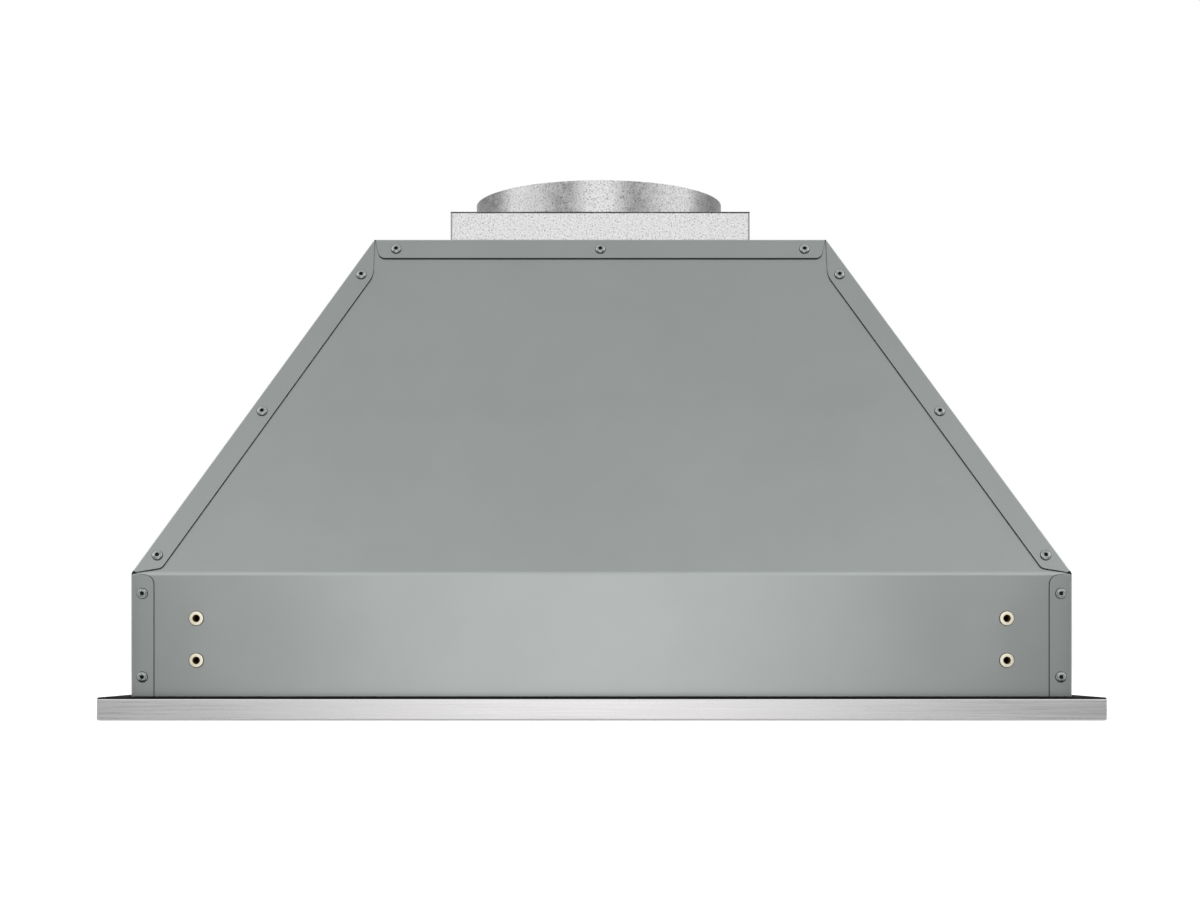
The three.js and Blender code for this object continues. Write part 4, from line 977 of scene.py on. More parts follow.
def buildRivets():
    headRadius, headRim = 4 * mm, 0.7 * mm
    counts = {"left": 5, "right": 5, "roof": 3}
    for strip, count in counts.items():
        for i in range(1, count + 1):
            node = f"{strip}_strip_rivet_{i}"
            low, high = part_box(node)
            leaning = high.z > body["bend"] + headRadius
            tilt = lean(deep) if leaning else 0
            z = high.z - headRadius * math.cos(tilt) - headRim * math.sin(tilt)
            x = (low.x + high.x) / 2
            y = -wallAt(deep, 0, z)
            buildRivet(f"{strip}_front_rivet_{i}", outward(Vector((x, y, z)), tilt), [node])
            buildRivet(f"{strip}_rear_rivet_{i}", outward(Vector((x, -y, z)), tilt, rear=True), [])


def buildRivetNuts():
    # mm: M5 rivet nut with a thin flange, a barrel that bulges behind the sheet, and its thread
    flangeEdge = [(2.75, 1.1), (4.55, 1.1), (4.85, 1.0), (5.0, 0.75), (5.0, 0.4), (4.9, 0.3), (3.8, 0.3),
                  (3.8, -1.3), (4.5, -1.45), (4.6, -1.8), (4.6, -2.9), (4.4, -3.2), (3.8, -3.5), (3.8, -12),
                  (2.5, -12)]
    pitch, crest, root = 0.8, 2.12, 2.5
    thread = []
    for i in range(14):
        thread += [(crest, -11.8 + i * pitch + pitch / 2), (root, -11.8 + (i + 1) * pitch)]
    thread += [(crest, 0.2), (2.35, 0.75)]
    for i, spot in enumerate(nutSpots, 1):
        bm = bmesh.new()
        place = outward(Vector((spot.x, -(deep["base"] - skinInset), spot.z)), 0)
        steps = 40
        profile = flangeEdge + thread
        lathe(bm, ringOfHeights(profile), steps, place, [0] * (len(flangeEdge) - 1) + [1] * (len(thread) + 1))
        # a thin black ring round the flange, just above the sheet: painted shadow outlining the nut
        shadowRing = [(5.35, 0.3), (5.2, 0.42), (4.95, 0.42)]
        lathe(bm, ringOfHeights(shadowRing), steps, place, [2, 2, 2])
        makePiece(f"nut_insert_{i}", bm, "housing", [zinc, shadedZincThread, blackRubberAndShade],
                  [f"rivet_nut_{i}"])


buildRivets()
buildRivetNuts()
print("fasteners built")


# ---- duct outlet: box and collar

duct = {"sheet": 1 * mm, "foot": 12 * mm, "cornerGap": 0.12 * mm, "collar": 100 * mm, "flange": 7 * mm,
        "stopWidth": 8 * mm, "stopReach": 5 * mm, "steps": 128, "seam": 12, "seamLift": 0.7 * mm}
boxLow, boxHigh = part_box("transition_box")
collarLow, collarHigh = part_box("duct_collar")
axleMiddle = sum(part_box("damper_axle"), Vector()) / 2


def squareRing(half, z, steps):
    points = []
    for i in range(steps):
        angle = 2 * math.pi * i / steps
        x, y = math.cos(angle), math.sin(angle)
        points.append((half * x / max(abs(x), abs(y)), half * y / max(abs(x), abs(y)), z))
    return points


def circle(radius, z, steps):
    return [(radius * math.cos(2 * math.pi * i / steps), radius * math.sin(2 * math.pi * i / steps), z)
            for i in range(steps)]


def buildTransitionBox():
    half, sheet, gap = boxHigh.x, duct["sheet"], duct["cornerGap"]
    low, plate = boxLow.z, boxHigh.z - duct["sheet"]
    bm = bmesh.new()
    for side in (-1, 1):
        ends = sorted((side * half, side * (half - sheet)))
        block(bm, (ends[0], -half, low), (ends[1], half, plate - gap), sides={2: 2, 3: 2})
        block(bm, (-half + sheet + gap, ends[0], low), (half - sheet - gap, ends[1], plate - gap))
        foot = sorted((side * (half - sheet), side * (half - duct["foot"])))
        block(bm, (foot[0], -half + sheet, low), (foot[1], half - sheet, low + sheet))
        block(bm, (-half + duct["foot"], foot[0], low), (half - duct["foot"], foot[1], low + sheet))
    mouth = duct["collar"] + body["gap"]
    steps = duct["steps"]
    below, above = squareRing(half, plate, steps), squareRing(half, boxHigh.z, steps)
    skin(bm, [below, above], closed=True, material=1)
    skin(bm, [above, circle(mouth, boxHigh.z, steps), circle(mouth, plate, steps), below], closed=True)
    makePiece("transition_housing", bm, "housing", [galvanised, zincEdge, zincFold],
              ["transition_box"], chamfer=0.1 * mm)


def buildCollar():
    # rolled sheet with a lap seam at the rear, held by spot welds, and two stops for the flaps
    outer, sheet = duct["collar"], duct["sheet"]
    inner = outer - sheet
    flangeTop = boxHigh.z - sheet - body["gap"]
    flangeOuter = outer + duct["flange"]
    low, top, lipRadius = collarLow.z, collarHigh.z, 0.3 * mm
    profile = [(inner, low), (outer, low), (outer, flangeTop - sheet), (flangeOuter, flangeTop - sheet),
               (flangeOuter, flangeTop), (outer, flangeTop), (outer, top - lipRadius),
               (outer - lipRadius, top), (inner + lipRadius, top), (inner, top - lipRadius)]
    bm = bmesh.new()
    lathe(bm, profile, duct["steps"])
    lift = duct["seamLift"]
    patch = []
    for step in range(-duct["seam"], duct["seam"] + 1):
        angle = math.pi / 2 + math.radians(step / 2)
        rise = lift if abs(step) < duct["seam"] else 0.1 * mm
        ring = [(outer - 0.2 * mm, boxHigh.z + 0.2 * mm), (outer + rise, boxHigh.z + 0.2 * mm),
                (outer + rise, top - 0.4 * mm), (outer - 0.2 * mm, top - 0.4 * mm)]
        patch.append([(r * math.cos(angle), r * math.sin(angle), z) for r, z in ring])
    skin(bm, patch, closed=True)
    for end in (patch[0], patch[-1]):
        bm.faces.new([bm.verts.new(point) for point in end])
    for rise in (7 * mm, 14 * mm, 21 * mm):
        weld = [(0, 0.16), (1.2, 0.12), (1.9, -0.02), (2.3, 0.1), (2.6, 0), (2.6, -0.4), (0, -0.4)]
        spot = Vector((0, outer + lift, boxHigh.z + rise))
        lathe(bm, ringOfHeights(weld), 20, outward(spot, 0, rear=True))
    stopTop = axleMiddle.z - 0.8 * mm
    for side in (-1, 1):
        ends = sorted((side * (inner - duct["stopReach"]), side * (inner + sheet / 2)))
        halfStop = duct["stopWidth"] / 2
        block(bm, (-halfStop, ends[0], stopTop - sheet), (halfStop, ends[1], stopTop))
    makePiece("duct_spigot", bm, "housing", [galvanised], ["duct_collar"])


buildTransitionBox()
buildCollar()
print("duct outlet built")


# ---- duct damper: axle and two flaps

damper = {"axle": 2 * mm, "overhang": 3 * mm, "rim": 98 * mm, "hinge": 4 * mm, "sheet": 1 * mm,
          "bead": 70 * mm, "beadHalf": 4 * mm, "beadRise": 1.1 * mm, "knuckle": 3.5 * mm, "bore": 2.3 * mm,
          "length": 14 * mm, "spots": (-58 * mm, 34 * mm), "rays": 72}


def buildAxle():
    end = duct["collar"] + damper["overhang"]
    bm = bmesh.new()
    axle = [(0, -end), (1.5 * mm, -end), (damper["axle"], -end + 0.5 * mm), (damper["axle"], end - 0.5 * mm),
            (1.5 * mm, end), (0, end)]
    lathe(bm, axle, 32, along("x", axleMiddle))
    makePiece("damper_rod", bm, "housing", [wireSteel], ["damper_axle"])


def flapPoint(share, angle):
    # a place on a half-disc flap, and how far its pressed bead rises there
    x, y = math.cos(angle), math.sin(angle)
    reach = -y * damper["hinge"] + math.sqrt(damper["rim"] ** 2 - (x * damper["hinge"]) ** 2)
    px, py = x * reach * share, damper["hinge"] + y * reach * share
    away = (math.hypot(px, py) - damper["bead"]) / damper["beadHalf"]
    rise = damper["beadRise"] * (0.5 + 0.5 * math.cos(math.pi * away)) if abs(away) < 1 else 0
    inside = min(1, max(0, (py - damper["hinge"]) / (8 * mm)))
    return px, py, rise * inside


def buildFlap(side, name):
    # rows close together where the bead runs, and two knuckles rolled round the axle
    shares = [0, 0.15, 0.3, 0.45, 0.55, 0.6, 0.64, 0.67, 0.7, 0.73, 0.76, 0.8, 0.86, 0.92, 0.97, 1]
    rays = damper["rays"]
    bm = bmesh.new()
    layers = []
    for face in (0.5, -0.5):
        rows = []
        for share in shares:
            points = [flapPoint(share, math.pi * i / rays) for i in range(rays + 1)]
            rows.append([(x, side * y, face * damper["sheet"] + rise) for x, y, rise in points])
        layers.append(rows)
    skin(bm, layers[0])
    skin(bm, layers[1][::-1])
    skin(bm, [layers[0][-1], layers[1][-1]])
    straight = [[rows[k][i] for k in range(len(shares))] for rows in layers for i in (0, rays)]
    skin(bm, [straight[0], straight[2]])
    skin(bm, [straight[1], straight[3]])
    for spot in damper["spots"]:
        middle = -side * spot
        ends = (middle - damper["length"] / 2, middle + damper["length"] / 2)
        rolled = [(damper["bore"], ends[0]), (damper["knuckle"], ends[0]), (damper["knuckle"], ends[1]),
                  (damper["bore"], ends[1])]
        lathe(bm, rolled, 32, along("x"))
        tongue = sorted((side * 2.9 * mm, side * 5 * mm))
        block(bm, (ends[0], tongue[0], -damper["sheet"] / 2), (ends[1], tongue[1], damper["sheet"] / 2))
    placed(bm, 0, Matrix.Translation(axleMiddle))
    makePiece(name + "_flap_plate", bm, name + "_flap", [galvanised], [name + "_damper_flap"])


# ---- cable gland on the roof

def buildGland():
    gland = {"hex": 12.5, "bore": 5.5, "ribs": 18}  # mm
    low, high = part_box("cable_gland")
    middle = (low + high) / 2
    base = body["roof"] + 0.3 * mm

    def hexed(radius, height, angle):
        if radius < 10.6 * mm:
            ribbed = 7 * mm < radius and base + 5.4 * mm < height < base + 9.6 * mm
            return radius - (0.35 * mm if ribbed and math.cos(gland["ribs"] * angle) < 0 else 0)
        flat = gland["hex"] * mm * math.cos(math.pi / 6)
        turn = (angle + math.pi / 6) % (math.pi / 3) - math.pi / 6
        return min(radius, flat / math.cos(turn))

    flangePart = [(gland["bore"], -8.9), (7.6, -8.9), (8.0, -8.5), (8.0, -6.9), (11.4, -6.9), (12.5, -6.5),
                  (12.5, -3.3), (11.4, -2.9), (8.0, -2.9), (8.0, 0), (11.6, 0), (12.5, 0.4), (12.5, 4.3),
                  (11.2, 5), (10.3, 5)]
    dome = [(10.5, 5.4), (10.5, 5.6), (10.5, 9.4), (9.9, 10.2), (8.6, 12.0), (7.4, 13.4), (6.6, 14),
            (6.0, 13.9), (gland["bore"], 13.2)]
    bm = bmesh.new()
    profile = [(r * mm, base + z * mm) for r, z in flangePart + dome]
    lathe(bm, profile, 144, Matrix.Translation((middle.x, middle.y, 0)), shape=hexed)
    makePiece("gland_body", bm, "housing", [nylon], ["cable_gland"], sharpAngle=28)
    seal = [(3.6, 12.2), (5.4, 12.6), (5.4, 4), (3.6, 4)]
    bm = bmesh.new()
    lathe(bm, [(r * mm, base + z * mm) for r, z in seal], 64, Matrix.Translation((middle.x, middle.y, 0)))
    makePiece("gland_seal", bm, "housing", [blackRubberAndShade])


buildAxle()
buildFlap(-1, "front")
buildFlap(1, "rear")
buildGland()
print("damper and gland built")


# ---- underside: liner, sloping fascia, lamps and buttons

fascia = {"front": -194.2 * mm, "depth": 88 * mm, "rise": 22 * mm, "start": 2.4 * mm, "lampX": 204 * mm}
fasciaMiddle = (0, fascia["front"] + fascia["depth"] / 2, fascia["start"] + fascia["rise"] / 2)
fasciaTilt = math.atan2(fascia["rise"], fascia["depth"])
fasciaPlace = Matrix.Translation(fasciaMiddle) @ Matrix.Rotation(fasciaTilt, 4, "X")


def buildLamp(name, x):
    # mm, +z up through the sheet: pressed trim ring and can, opal lens seated in its mouth
    ring = [(0, 14), (27, 14), (27, -0.7), (24.9, -0.7), (24.5, -0.9), (24.5, -1.9), (24.9, -2.3), (26, -2.3),
            (27.4, -1.9), (29, -1.9), (30.4, -2.3), (32.6, -2.3), (33.6, -1.9), (34, -1.1), (34, -0.3),
            (29, -0.3), (29, 15.5), (28.5, 16), (0, 16)]
    place = fasciaPlace @ Matrix.Translation((x, 0, 0))
    bm = bmesh.new()
    lathe(bm, ringOfHeights(ring), 128, place)
    makePiece(name + "_lamp_can", bm, "housing", [lampTrim],
              [name + "_lamp_housing"], sharpAngle=50)
    lens = [(0, -1.3), (8, -1.25), (16, -1.05), (22, -0.7), (23.8, -0.5), (24.3, -0.4), (26.7, -0.4),
            (26.7, 2.1), (0, 2.1)]
    bm = bmesh.new()
    lathe(bm, ringOfHeights(lens), 96, place)
    makePiece(name + "_lamp_glass", bm, "housing", [opal], [name + "_lamp_lens"])


def buildButtons():
    # mm, on the fascia's slope
    buttons = {"names": ("light", "off", "low", "medium", "high"), "pitch": 23, "face": -0.3, "halfY": 10.2,
               "border": 4.5, "plate": 2, "hole": 7.3, "wall": 1.2, "back": 4, "clearance": 0.3}
    face, border, wall = buttons["face"], buttons["border"], buttons["wall"]
    count = len(buttons["names"])
    halfX, halfY = count * buttons["pitch"] / 2, buttons["halfY"]
    spots = [Matrix.Translation(((i - 2) * buttons["pitch"] * mm, 0, 0)) for i in range(count)]
    # the plate has round holes, cut by rods, and a frame behind it that fits the sheet's opening
    outline = roundedPlate(halfX + border, halfY + border, border, 8)
    outer = [(point.x * mm, point.y * mm) for point in outline]
    bm = bmesh.new()
    prism(bm, outer, (face - buttons["plate"]) * mm, face * mm, "z")
    rod = [(0, -5), (buttons["hole"], -5), (buttons["hole"], 5), (0, 5)]
    holes = bmesh.new()
    for spot in spots:
        lathe(holes, ringOfHeights(rod), 64, spot)
    placed(bm, 0, fasciaPlace)
    placed(holes, 0, fasciaPlace)
    makePiece("button_plate", bm, "housing", [blackAbs], ["button_bezel"], chamfer=0.45 * mm,
              chamferSteps=3, cutter=holes)
    x, y = halfX - buttons["clearance"], halfY - buttons["clearance"]
    walls = (((-x, -y), (x, -y + wall)), ((-x, y - wall), (x, y)),
             ((-x, -y + wall), (-x + wall, y - wall)), ((x - wall, -y + wall), (x, y - wall)))
    bm = bmesh.new()
    for low, high in walls:
        block(bm, (low[0] * mm, low[1] * mm, face * mm), (high[0] * mm, high[1] * mm, buttons["back"] * mm))
    placed(bm, 0, fasciaPlace)
    makePiece("button_plate_frame", bm, "housing", [blackAbs], chamfer=0.2 * mm)
    # key: dished face with a soft rim, collar behind the plate, stem to its switch
    key = [(0, -3.35), (2.5, -3.42), (4.4, -3.62), (5.4, -3.84), (5.9, -3.9), (6.4, -3.82), (6.8, -3.5),
           (7, -3.0), (7, 0), (8.4, 0), (8.4, 1.5), (3, 1.5), (3, 6), (0, 6)]
    for name, spot in zip(buttons["names"], spots):
        bm = bmesh.new()
        lathe(bm, ringOfHeights(key), 64, fasciaPlace @ spot)
        makePiece(name + "_push_key", bm, name + "_key", [greyAbs], [name + "_button"])


def buildScrews(name, spots, axis):
    # slotted pan-head screws, each with its head outwards from its spot
    head = [(0, 1.5), (1.2, 1.5), (2.2, 1.3), (2.9, 0.8), (3.2, 0.1), (3.2, 0), (1.4, 0), (1.4, -3), (0, -3)]
    for i, spot in enumerate(spots, 1):
        bm = bmesh.new()
        lathe(bm, ringOfHeights(head), 32, along(axis, spot))
        slot = bmesh.new()
        block(slot, (-4 * mm, -0.4 * mm, 0.8 * mm), (4 * mm, 0.4 * mm, 3 * mm))
        placed(slot, 0, along(axis, spot))
        makePiece(f"{name}_{i}", bm, "housing", [rivetSteel], cutter=slot)


finishNode("canopy_liner", brushedY, 0.3 * mm)
finishNode("control_fascia", brushedX, 0.45 * mm, 3)
finishNode("control_board", boardGreen, 0.15 * mm)
buildLamp("left", -fascia["lampX"])
buildLamp("right", fascia["lampX"])
buildButtons()
print("fascia, lamps and buttons built")


# ---- baffle filters: frame, two rows of channels, wire handle and leaf catch

filters = {"height": 18 * mm, "sheet": 1 * mm, "rim": 12 * mm, "gap": 0.3 * mm, "corner": 1.2 * mm,
           "fold": 1.3 * mm, "baffleSheet": 0.8 * mm, "baffle": 28 * mm, "baffleFold": 1.1 * mm,
           "leg": 8.5 * mm, "count": 7, "wire": 2 * mm, "span": 64 * mm, "drop": 18 * mm, "bend": 8 * mm}


def buildFilterRim(name, place, halfX, halfY):
    rim, tall, fold = filters["rim"], filters["height"], filters["fold"]
    bm = bmesh.new()
    path = fillet([(rim, tall), (0, tall, fold), (0, 0, fold), (rim, 0)])
    mitredFrame(bm, thickened(path, filters["sheet"]), halfX, halfY, filters["corner"])
    placed(bm, 0, place)
    makePiece(name + "_filter_rim", bm, name + "_filter", [brushedX, brushedY],
              [name + "_filter_frame"], chamfer=0.12 * mm)


def buildBaffles(name, place, halfX, halfY):
    # channels: the lower row opens upwards, the upper row hangs between them
    sheet, gap, thick, bend = filters["sheet"], filters["gap"], filters["baffleSheet"], filters["baffleFold"]
    inner, ends = halfX - sheet - gap, halfY - sheet - gap
    low, high = sheet + gap, filters["height"] - sheet - gap
    half, leg, count = filters["baffle"] / 2, filters["leg"], filters["count"]
    pitch = (2 * inner - 2 * half) / (count - 1)
    channels = [(half - inner + i * pitch, low, low + leg, half) for i in range(count)]
    channels += [(half - inner + (i + 0.5) * pitch, high, high - leg, -half) for i in range(count - 1)]
    bm = bmesh.new()
    for x, base, tip, reach in channels:
        path = fillet([(x - reach, tip), (x - reach, base, bend), (x + reach, base, bend), (x + reach, tip)])
        prism(bm, thickened(path, thick), -ends + thick, ends - thick, "y")
    for side in (-1, 1):
        edge = sorted((side * ends, side * (ends - thick)))
        block(bm, (-inner, edge[0], low), (inner, edge[1], high))
    placed(bm, 0, place)
    makePiece(name + "_filter_channels", bm, name + "_filter", [baffleSteel],
              [name + "_filter_baffles"])


def buildHandle(name, middleX, frameFoot):
    # one bent wire with flattened, welded feet
    low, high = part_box(name + "_filter_handle")
    spot = Vector((middleX, (low.y + high.y) / 2, frameFoot - filters["gap"]))
    reach, drop, bend = filters["span"] / 2, filters["drop"], filters["bend"]
    route = fillet([(-reach, -0.6 * mm), (-reach, -drop, bend), (reach, -drop, bend), (reach, -0.6 * mm)], 10)
    bead = [(0, -2.4), (2.6, -2.1), (3.3, -1.5), (3.5, -1.1), (0, -1.1)]
    weld = [(0, -1.45), (0.9, -1.4), (1.3, -1.1), (0, -1.1)]
    pad = roundedPlate(7 * mm, 4.5 * mm, 2 * mm, 5)
    bm = bmesh.new()
    pipe(bm, [(point.x, 0, point.y) for point in route], filters["wire"])
    for side in (-1, 1):
        foot = Vector((side * reach, 0, 0))
        prism(bm, [(foot.x + point.x, point.y) for point in pad], -1.2 * mm, 0, "z")
        lathe(bm, ringOfHeights(bead), 24, Matrix.Translation(foot))
        for turn in (-1, 1):
            lathe(bm, ringOfHeights(weld), 16, Matrix.Translation(foot + Vector((turn * 5.2 * mm, 0, 0))))
    placed(bm, 0, Matrix.Translation(spot))
    makePiece(name + "_filter_grip", bm, name + "_filter", [wireSteel],
              [name + "_filter_handle"])


def buildFilter(name):
    low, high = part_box(name + "_filter_frame")
    middle = (low + high) / 2
    halfX, halfY = (high.x - low.x) / 2, (high.y - low.y) / 2
    place = Matrix.Translation((middle.x, middle.y, low.z))
    buildFilterRim(name, place, halfX, halfY)
    buildBaffles(name, place, halfX, halfY)
    buildHandle(name, middle.x, low.z)


def buildCatch(name):
    # a spring leaf on the fascia's upright flange, bent to a nose that holds the filter
    low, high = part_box(name + "_filter_catch")
    catch = {"sheet": 0.8 * mm, "nose": -98.2 * mm, "back": -105.1 * mm, "tip": 28.6 * mm, "knee": 30.8 * mm}
    back, tip = catch["back"], catch["tip"]
    path = fillet([(back, tip - 5 * mm), (catch["nose"], tip, 0.9 * mm), (back, catch["knee"], 1.4 * mm),
                   (back, high.z)], 6)
    bm = bmesh.new()
    prism(bm, thickened(path, catch["sheet"]), low.x, high.x, "x")
    for x in (-9 * mm, 9 * mm):
        dome = [(0, 1.3), (1.4, 1.15), (2.4, 0.7), (2.8, 0), (0, -0.3)]
        spot = Vector(((low.x + high.x) / 2 + x, back, high.z - 8 * mm))
        lathe(bm, ringOfHeights(dome), 24, Matrix.Translation(spot) @ Matrix.Rotation(-math.pi / 2, 4, "X"))
    makePiece(name + "_catch_leaf", bm, "housing", [springLeaf], [name + "_filter_catch"],
              chamfer=0.12 * mm)


for name in ("left", "right"):
    buildFilter(name)
    buildCatch(name)
print("filters built")


# ---- blower: scroll, impeller and motor

blower = {"shaft": Vector((0, -45 * mm, body["roof"] - 126 * mm)), "half": 62 * mm, "sheet": 1 * mm,
          "small": 80 * mm, "large": 118 * mm, "tongue": 65, "steps": 72, "inlet": 60 * mm, "blades": 42,
          "rim": 72 * mm, "bladeDepth": 12 * mm, "wheel": 54 * mm}


def scrollPath(grow=0):
    # the spiral from the tongue round to the outlet's far wall, both carried up to the roof
    top = body["roof"] - 1.3 * mm - blower["shaft"].z
    start = math.radians(blower["tongue"])
    tongueY = blower["small"] * math.cos(start) - grow
    path = [(blower["large"] + grow, top)]
    for i in range(blower["steps"], 0, -1):
        share = i / blower["steps"]
        angle = start + share * (2 * math.pi - start)
        radius = blower["small"] + share * (blower["large"] - blower["small"]) + grow
        path.append((radius * math.cos(angle), radius * math.sin(angle)))
    path.append((tongueY, math.sqrt((blower["small"] + grow) ** 2 - tongueY ** 2)))
    path.append((tongueY, top))
    return [Vector(point) for point in path]


def buildScroll():
    place = Matrix.Translation(blower["shaft"])
    sheet, half = blower["sheet"], blower["half"]
    inside = scrollPath()
    bm = bmesh.new()
    prism(bm, inside + scrollPath(sheet)[::-1], -half, half, "x")
    top = inside[0].y
    for edge, turn in ((inside[-1].x, -1), (inside[0].x, 1)):
        tab = sorted((edge + turn * sheet, edge + turn * 12 * mm))
        block(bm, (-half, tab[0], top - sheet), (half, tab[1], top))
    placed(bm, 0, place)
    makePiece("scroll_band", bm, "housing", [galvanised], ["scroll_wrapper"], sharpAngle=40)
    for side, name in ((-1, "left"), (1, "right")):
        near = half + 0.3 * mm
        ends = sorted((side * near, side * (near + sheet)))
        outline = scrollPath(sheet)
        bm = bmesh.new()
        prism(bm, outline, ends[0], ends[1], "x")
        placed(bm, 0, place)
        hole = bmesh.new()
        edge = blower["inlet"] + 3.2 * mm
        rod = [(0, near - 5 * mm), (edge, near - 5 * mm), (edge, near + 9 * mm), (0, near + 9 * mm)]
        turned = along("x") if side > 0 else Matrix.Rotation(math.pi, 4, "Z") @ along("x")
        lathe(hole, rod, 96, place @ turned)
        makePiece(name + "_scroll_plate", bm, "housing", [galvanised], [f"scroll_{name}_side"],
                  cutter=hole)
        # inlet: the edge of the hole rolled in to a smooth mouth
        inlet, out = blower["inlet"], near + sheet
        mouth = fillet([(inlet + 3.2 * mm, out), (inlet, out, 2.6 * mm), (inlet, out - 5.5 * mm)], 8)
        shape = [(p.x, p.y) for p in thickened(mouth, sheet)]
        bm = bmesh.new()
        lathe(bm, shape, 96, place @ turned)
        makePiece(name + "_inlet_mouth", bm, "housing", [galvanised], sharpAngle=50)


def buildWheel():
    # blades curve forwards in the turning direction, between a middle disc and two rims
    place = Matrix.Translation(blower["shaft"]) @ along("x")
    rim, root, half = blower["rim"], blower["rim"] - blower["bladeDepth"], blower["wheel"]
    bm = bmesh.new()
    disc = [(4.3 * mm, -1 * mm), (4.3 * mm, 1 * mm), (20 * mm, 1 * mm), (26 * mm, 0.4 * mm),
            (56 * mm, 0.4 * mm), (60 * mm, 1 * mm), (rim, 1 * mm), (rim, -1 * mm), (60 * mm, -1 * mm),
            (56 * mm, -1.4 * mm), (26 * mm, -1.4 * mm), (20 * mm, -1 * mm)]
    lathe(bm, disc, 96, place)
    for side in (-1, 1):
        outer, inner = side * half, side * (half - 2 * mm)
        band = [(root, inner), (root, outer), (root + 1 * mm, outer), (root + 2 * mm, side * (half - 1 * mm)),
                (rim - 1.4 * mm, side * (half - 1 * mm)), (rim - 0.6 * mm, outer), (rim, outer), (rim, inner)]
        lathe(bm, band, 96, place)
    hub = [(4.3, -16), (10.4, -16), (11, -15.4), (11, -0.5), (4.3, -0.5)]
    lathe(bm, ringOfHeights(hub), 48, place)
    sweep = 4.5 * mm
    curve = []
    for i in range(7):
        t = i / 6
        curve.append(Vector((root + 0.8 * mm + t * (rim - root - 1.6 * mm), sweep * t ** 2)))
    outline = thickened(curve, 0.7 * mm)
    for i in range(blower["blades"]):
        turn = Matrix.Rotation(2 * math.pi * i / blower["blades"], 2)
        path = [tuple(turn @ point) for point in outline]
        for low, high in ((-half + 1 * mm, -0.9 * mm), (0.9 * mm, half - 1 * mm)):
            start = len(bm.verts)
            prism(bm, path, low, high, "z")
            placed(bm, start, place)
    makePiece("blower_wheel", bm, "rotor", [galvanised], ["impeller"], sharpAngle=40)
    bm = bmesh.new()
    spindle = [(0, -18), (3.5, -18), (4, -17.5), (4, 18.2), (3.5, 18.7), (0, 18.7)]
    lathe(bm, ringOfHeights(spindle), 32, place)
    makePiece("blower_spindle", bm, "rotor", [wireSteel], ["motor_shaft"])


def buildMotor():
    # cast can with cooling ribs round its middle, a rim that the bracket holds, and a cap
    motor = {"ribs": 32, "ribDepth": 1.6 * mm, "ribFrom": 12 * mm, "ribTo": 60 * mm}
    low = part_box("motor")[0].x

    def ribbed(radius, height, angle):
        inBand = low + motor["ribFrom"] < height < low + motor["ribTo"] and 39.5 * mm < radius < 41 * mm
        return radius - (motor["ribDepth"] if inBand and math.cos(motor["ribs"] * angle) < 0.1 else 0)

    can = [(4.3, 0), (9, 0), (10, 1), (10, 2), (30, 2.5), (36.5, 0.4), (38.5, 0.6), (40, 2.2), (40, 11.9),
           (40, 12.1), (40, 59.9), (40, 60.1), (40, 60.9), (44.6, 60.9), (45, 61.3), (45, 62.5), (44.6, 62.9),
           (40, 62.9), (40, 69.5), (38.5, 72), (36, 73.2), (16, 73.6), (13, 74), (0, 74), (0, 14), (4.3, 14)]
    bm = bmesh.new()
    profile = [(radius * mm, low + height * mm) for radius, height in can]
    place = Matrix.Translation((0, blower["shaft"].y, blower["shaft"].z)) @ along("x")
    lathe(bm, profile, 192, place, shape=ribbed)
    makePiece("motor_can", bm, "housing", [castAluminium], ["motor"], sharpAngle=40)


buildScroll()
buildWheel()
buildMotor()
finishNode("motor_bracket", galvanised, 0.25 * mm)
finishNode("motor_capacitor", blackAbs, 1.2 * mm, 4)
finishNode("junction_box", galvanised, 0.3 * mm)
finishNode("junction_box_cover", galvanised, 0.3 * mm)
coverLow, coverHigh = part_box("junction_box_cover")
buildScrews("cover_screw", [(coverLow.x + 6 * mm, coverLow.y + 8 * mm, coverLow.z),
                            (coverHigh.x - 6 * mm, coverHigh.y - 8 * mm, coverLow.z)], "-z")
print("blower and wiring box built")


# ---- floor, world and lights

studio = {"floor": "#e9eaea", "floorHalf": 6, "floorFill": 0.42, "gloss": 3.2, "plain": 0.75, "ground": 0.24,
          "warmth": (1.0, 0.97, 0.98)}


def makeFloor():
    # pale matt floor: the camera sees it lifted to white, and it keeps the object's shadow
    half = studio["floorHalf"]
    mesh = bpy.data.meshes.new("floor")
    corners = [(-half, -half, 0), (half, -half, 0), (half, half, 0), (-half, half, 0)]
    mesh.from_pydata(corners, [], [(0, 1, 2, 3)])
    floor = bpy.data.objects.new("floor", mesh)
    floor.location.z = -0.2 * mm
    scene.collection.objects.link(floor)
    # the world stands for the floor in reflections, so the underside is lit too
    floor.visible_diffuse = False
    floor.visible_glossy = False
    paper = bpy.data.materials.new("studio_floor")
    paper.use_nodes = True
    tree = paper.node_tree
    tree.nodes.clear()
    rays = addNode(tree, "LightPath").outputs
    diffuse = addNode(tree, "BsdfDiffuse", {"Color": linear(studio["floor"])}).outputs[0]
    lift = addNode(tree, "Emission", {"Color": (1, 1, 1, 1), "Strength": studio["floorFill"]}).outputs[0]
    lifted = addNode(tree, "AddShader", {0: diffuse, 1: lift}).outputs[0]
    seen = addNode(tree, "MixShader", {0: rays["Is Camera Ray"], 1: diffuse, 2: lifted}).outputs[0]
    clear = addNode(tree, "BsdfTransparent").outputs[0]
    behind = addNode(tree, "NewGeometry").outputs["Backfacing"]
    both = addNode(tree, "MixShader", {0: behind, 1: seen, 2: clear}).outputs[0]
    addNode(tree, "OutputMaterial", {"Surface": both})
    mesh.materials.append(paper)


def greyLevel(level, tint=(1, 1, 1)):
    return (level * tint[0], level * tint[1], level * tint[2], 1)


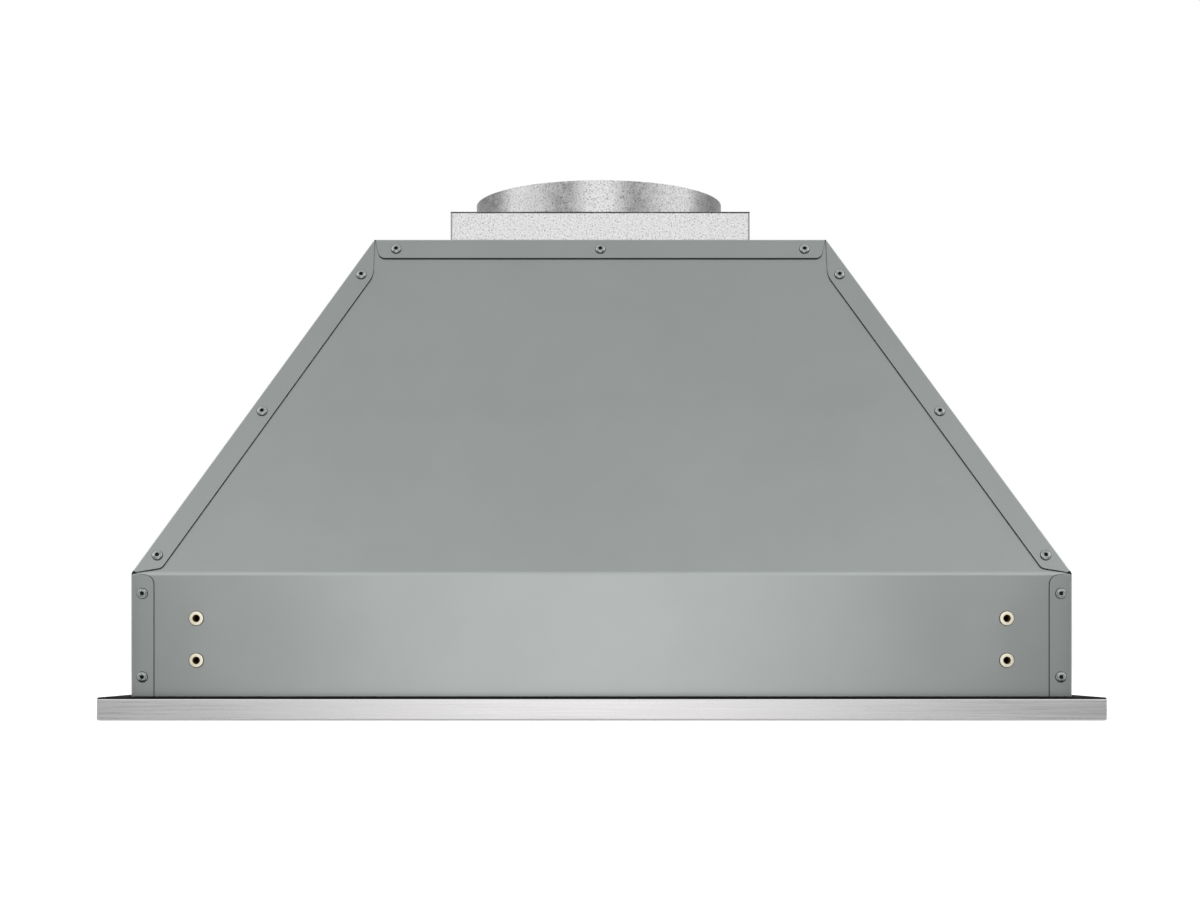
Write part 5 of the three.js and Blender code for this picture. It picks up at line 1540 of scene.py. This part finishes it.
def fadeBetween(tree, height, low, high, first, second):
    # one colour up to a height, another from a second height on, and a fade between the two
    fade = addNode(tree, "MapRange", {"Value": height, "From Min": low, "From Max": high}).outputs[0]
    return mixed(tree, fade, first, second)


def makeWorld():
    # white world for the camera; metal sees a white studio with dark gaps between its screens
    world = bpy.data.worlds.new("studio_world")
    scene.world = world
    world.use_nodes = True
    tree = world.node_tree
    tree.nodes.clear()
    direction = addNode(tree, "SeparateXYZ", {0: addNode(tree, "TexCoord").outputs["Generated"]}).outputs
    height = direction["Z"]
    sideways = addNode(tree, "Math", {0: direction["X"]}, operation="ABSOLUTE").outputs[0]
    forward = addNode(tree, "Math", {0: direction["Y"], 1: -1.0}, operation="MULTIPLY").outputs[0]
    turn = addNode(tree, "Math", {0: sideways, 1: forward}, operation="ARCTAN2").outputs[0]
    share = addNode(tree, "Math", {0: turn, 1: 1 / math.pi}, operation="MULTIPLY").outputs[0]
    # degrees round from the front, brightness: at eye level, and a little higher as the duct collar sees it
    eyeLevel = [(0, 0.7), (3, 0.72), (7, 0.34), (11, 0.02), (20, 0.02), (36, 0.34), (60, 0.35), (110, 0.18),
                (180, 0.22)]
    above = [(0, 0.4), (9, 0.52), (19, 0.46), (25, 0.0), (41, 0.0), (52, 0.22), (62, 0.28), (90, 0.41),
             (105, 0.04), (130, 0.06), (180, 0.2)]
    rings = []
    for screens in (eyeLevel, above):
        stops = []
        for degrees, level in screens:
            # the screen straight in front is a little warmer than the rest
            warm = screens is eyeLevel and degrees < 5
            stops.append((degrees / 180, greyLevel(level, studio["warmth"]) if warm else greyLevel(level)))
        rings.append(ramp(tree, share, stops, "EASE"))
    around = fadeBetween(tree, height, 0.07, 0.14, rings[0], rings[1])
    around = fadeBetween(tree, height, -0.15, -0.4, around, greyLevel(studio["ground"]))
    # overhead: darker straight in front, where the slope mirrors it, and lighter to the sides and behind
    climbing = ramp(tree, height, [(0.55, greyLevel(0.66)), (0.78, greyLevel(0.37)), (0.95, greyLevel(0.4))])
    turning = ramp(tree, share, [(0.13, greyLevel(0.61)), (0.32, greyLevel(1.0)), (1.0, greyLevel(1.0))])
    screen = fadeBetween(tree, height, 0.28, 0.5, around, multiply(tree, climbing, turning))
    mirrored = addNode(tree, "Background", {"Color": screen, "Strength": studio["gloss"]}).outputs[0]
    plain = addNode(tree, "Background", {"Color": (1, 1, 1, 1), "Strength": studio["plain"]}).outputs[0]
    white = addNode(tree, "Background", {"Color": (1, 1, 1, 1), "Strength": 1.0}).outputs[0]
    rays = addNode(tree, "LightPath").outputs
    lighting = addNode(tree, "MixShader", {0: rays["Is Glossy Ray"], 1: plain, 2: mirrored}).outputs[0]
    straight = {0: rays["Is Camera Ray"], 1: rays["Is Transmission Ray"]}
    direct = addNode(tree, "Math", straight, operation="MAXIMUM").outputs[0]
    shown = addNode(tree, "MixShader", {0: direct, 1: lighting, 2: white}).outputs[0]
    addNode(tree, "OutputWorld", {"Surface": shown})


def makeSoftBoxes():
    # one high in front and one overhead; metal mirrors the screens, not these two
    boxes = {"front_box": ((0, -0.9, 2.4), 1.6, 14), "top_box": ((0.5, 0.9, 2.4), 2.0, 12)}
    for name, (place, size, energy) in boxes.items():
        lamp = bpy.data.lights.new(name, "AREA")
        lamp.shape = "SQUARE"
        lamp.size = size
        lamp.energy = energy
        box = bpy.data.objects.new(name, lamp)
        box.location = place
        box.rotation_euler = (Vector((0, 0, 0.15)) - Vector(place)).to_track_quat("-Z", "Y").to_euler()
        box.visible_glossy = False
        scene.collection.objects.link(box)


makeFloor()
makeWorld()
makeSoftBoxes()
print("studio made")
scene.view_settings.view_transform = "Standard"
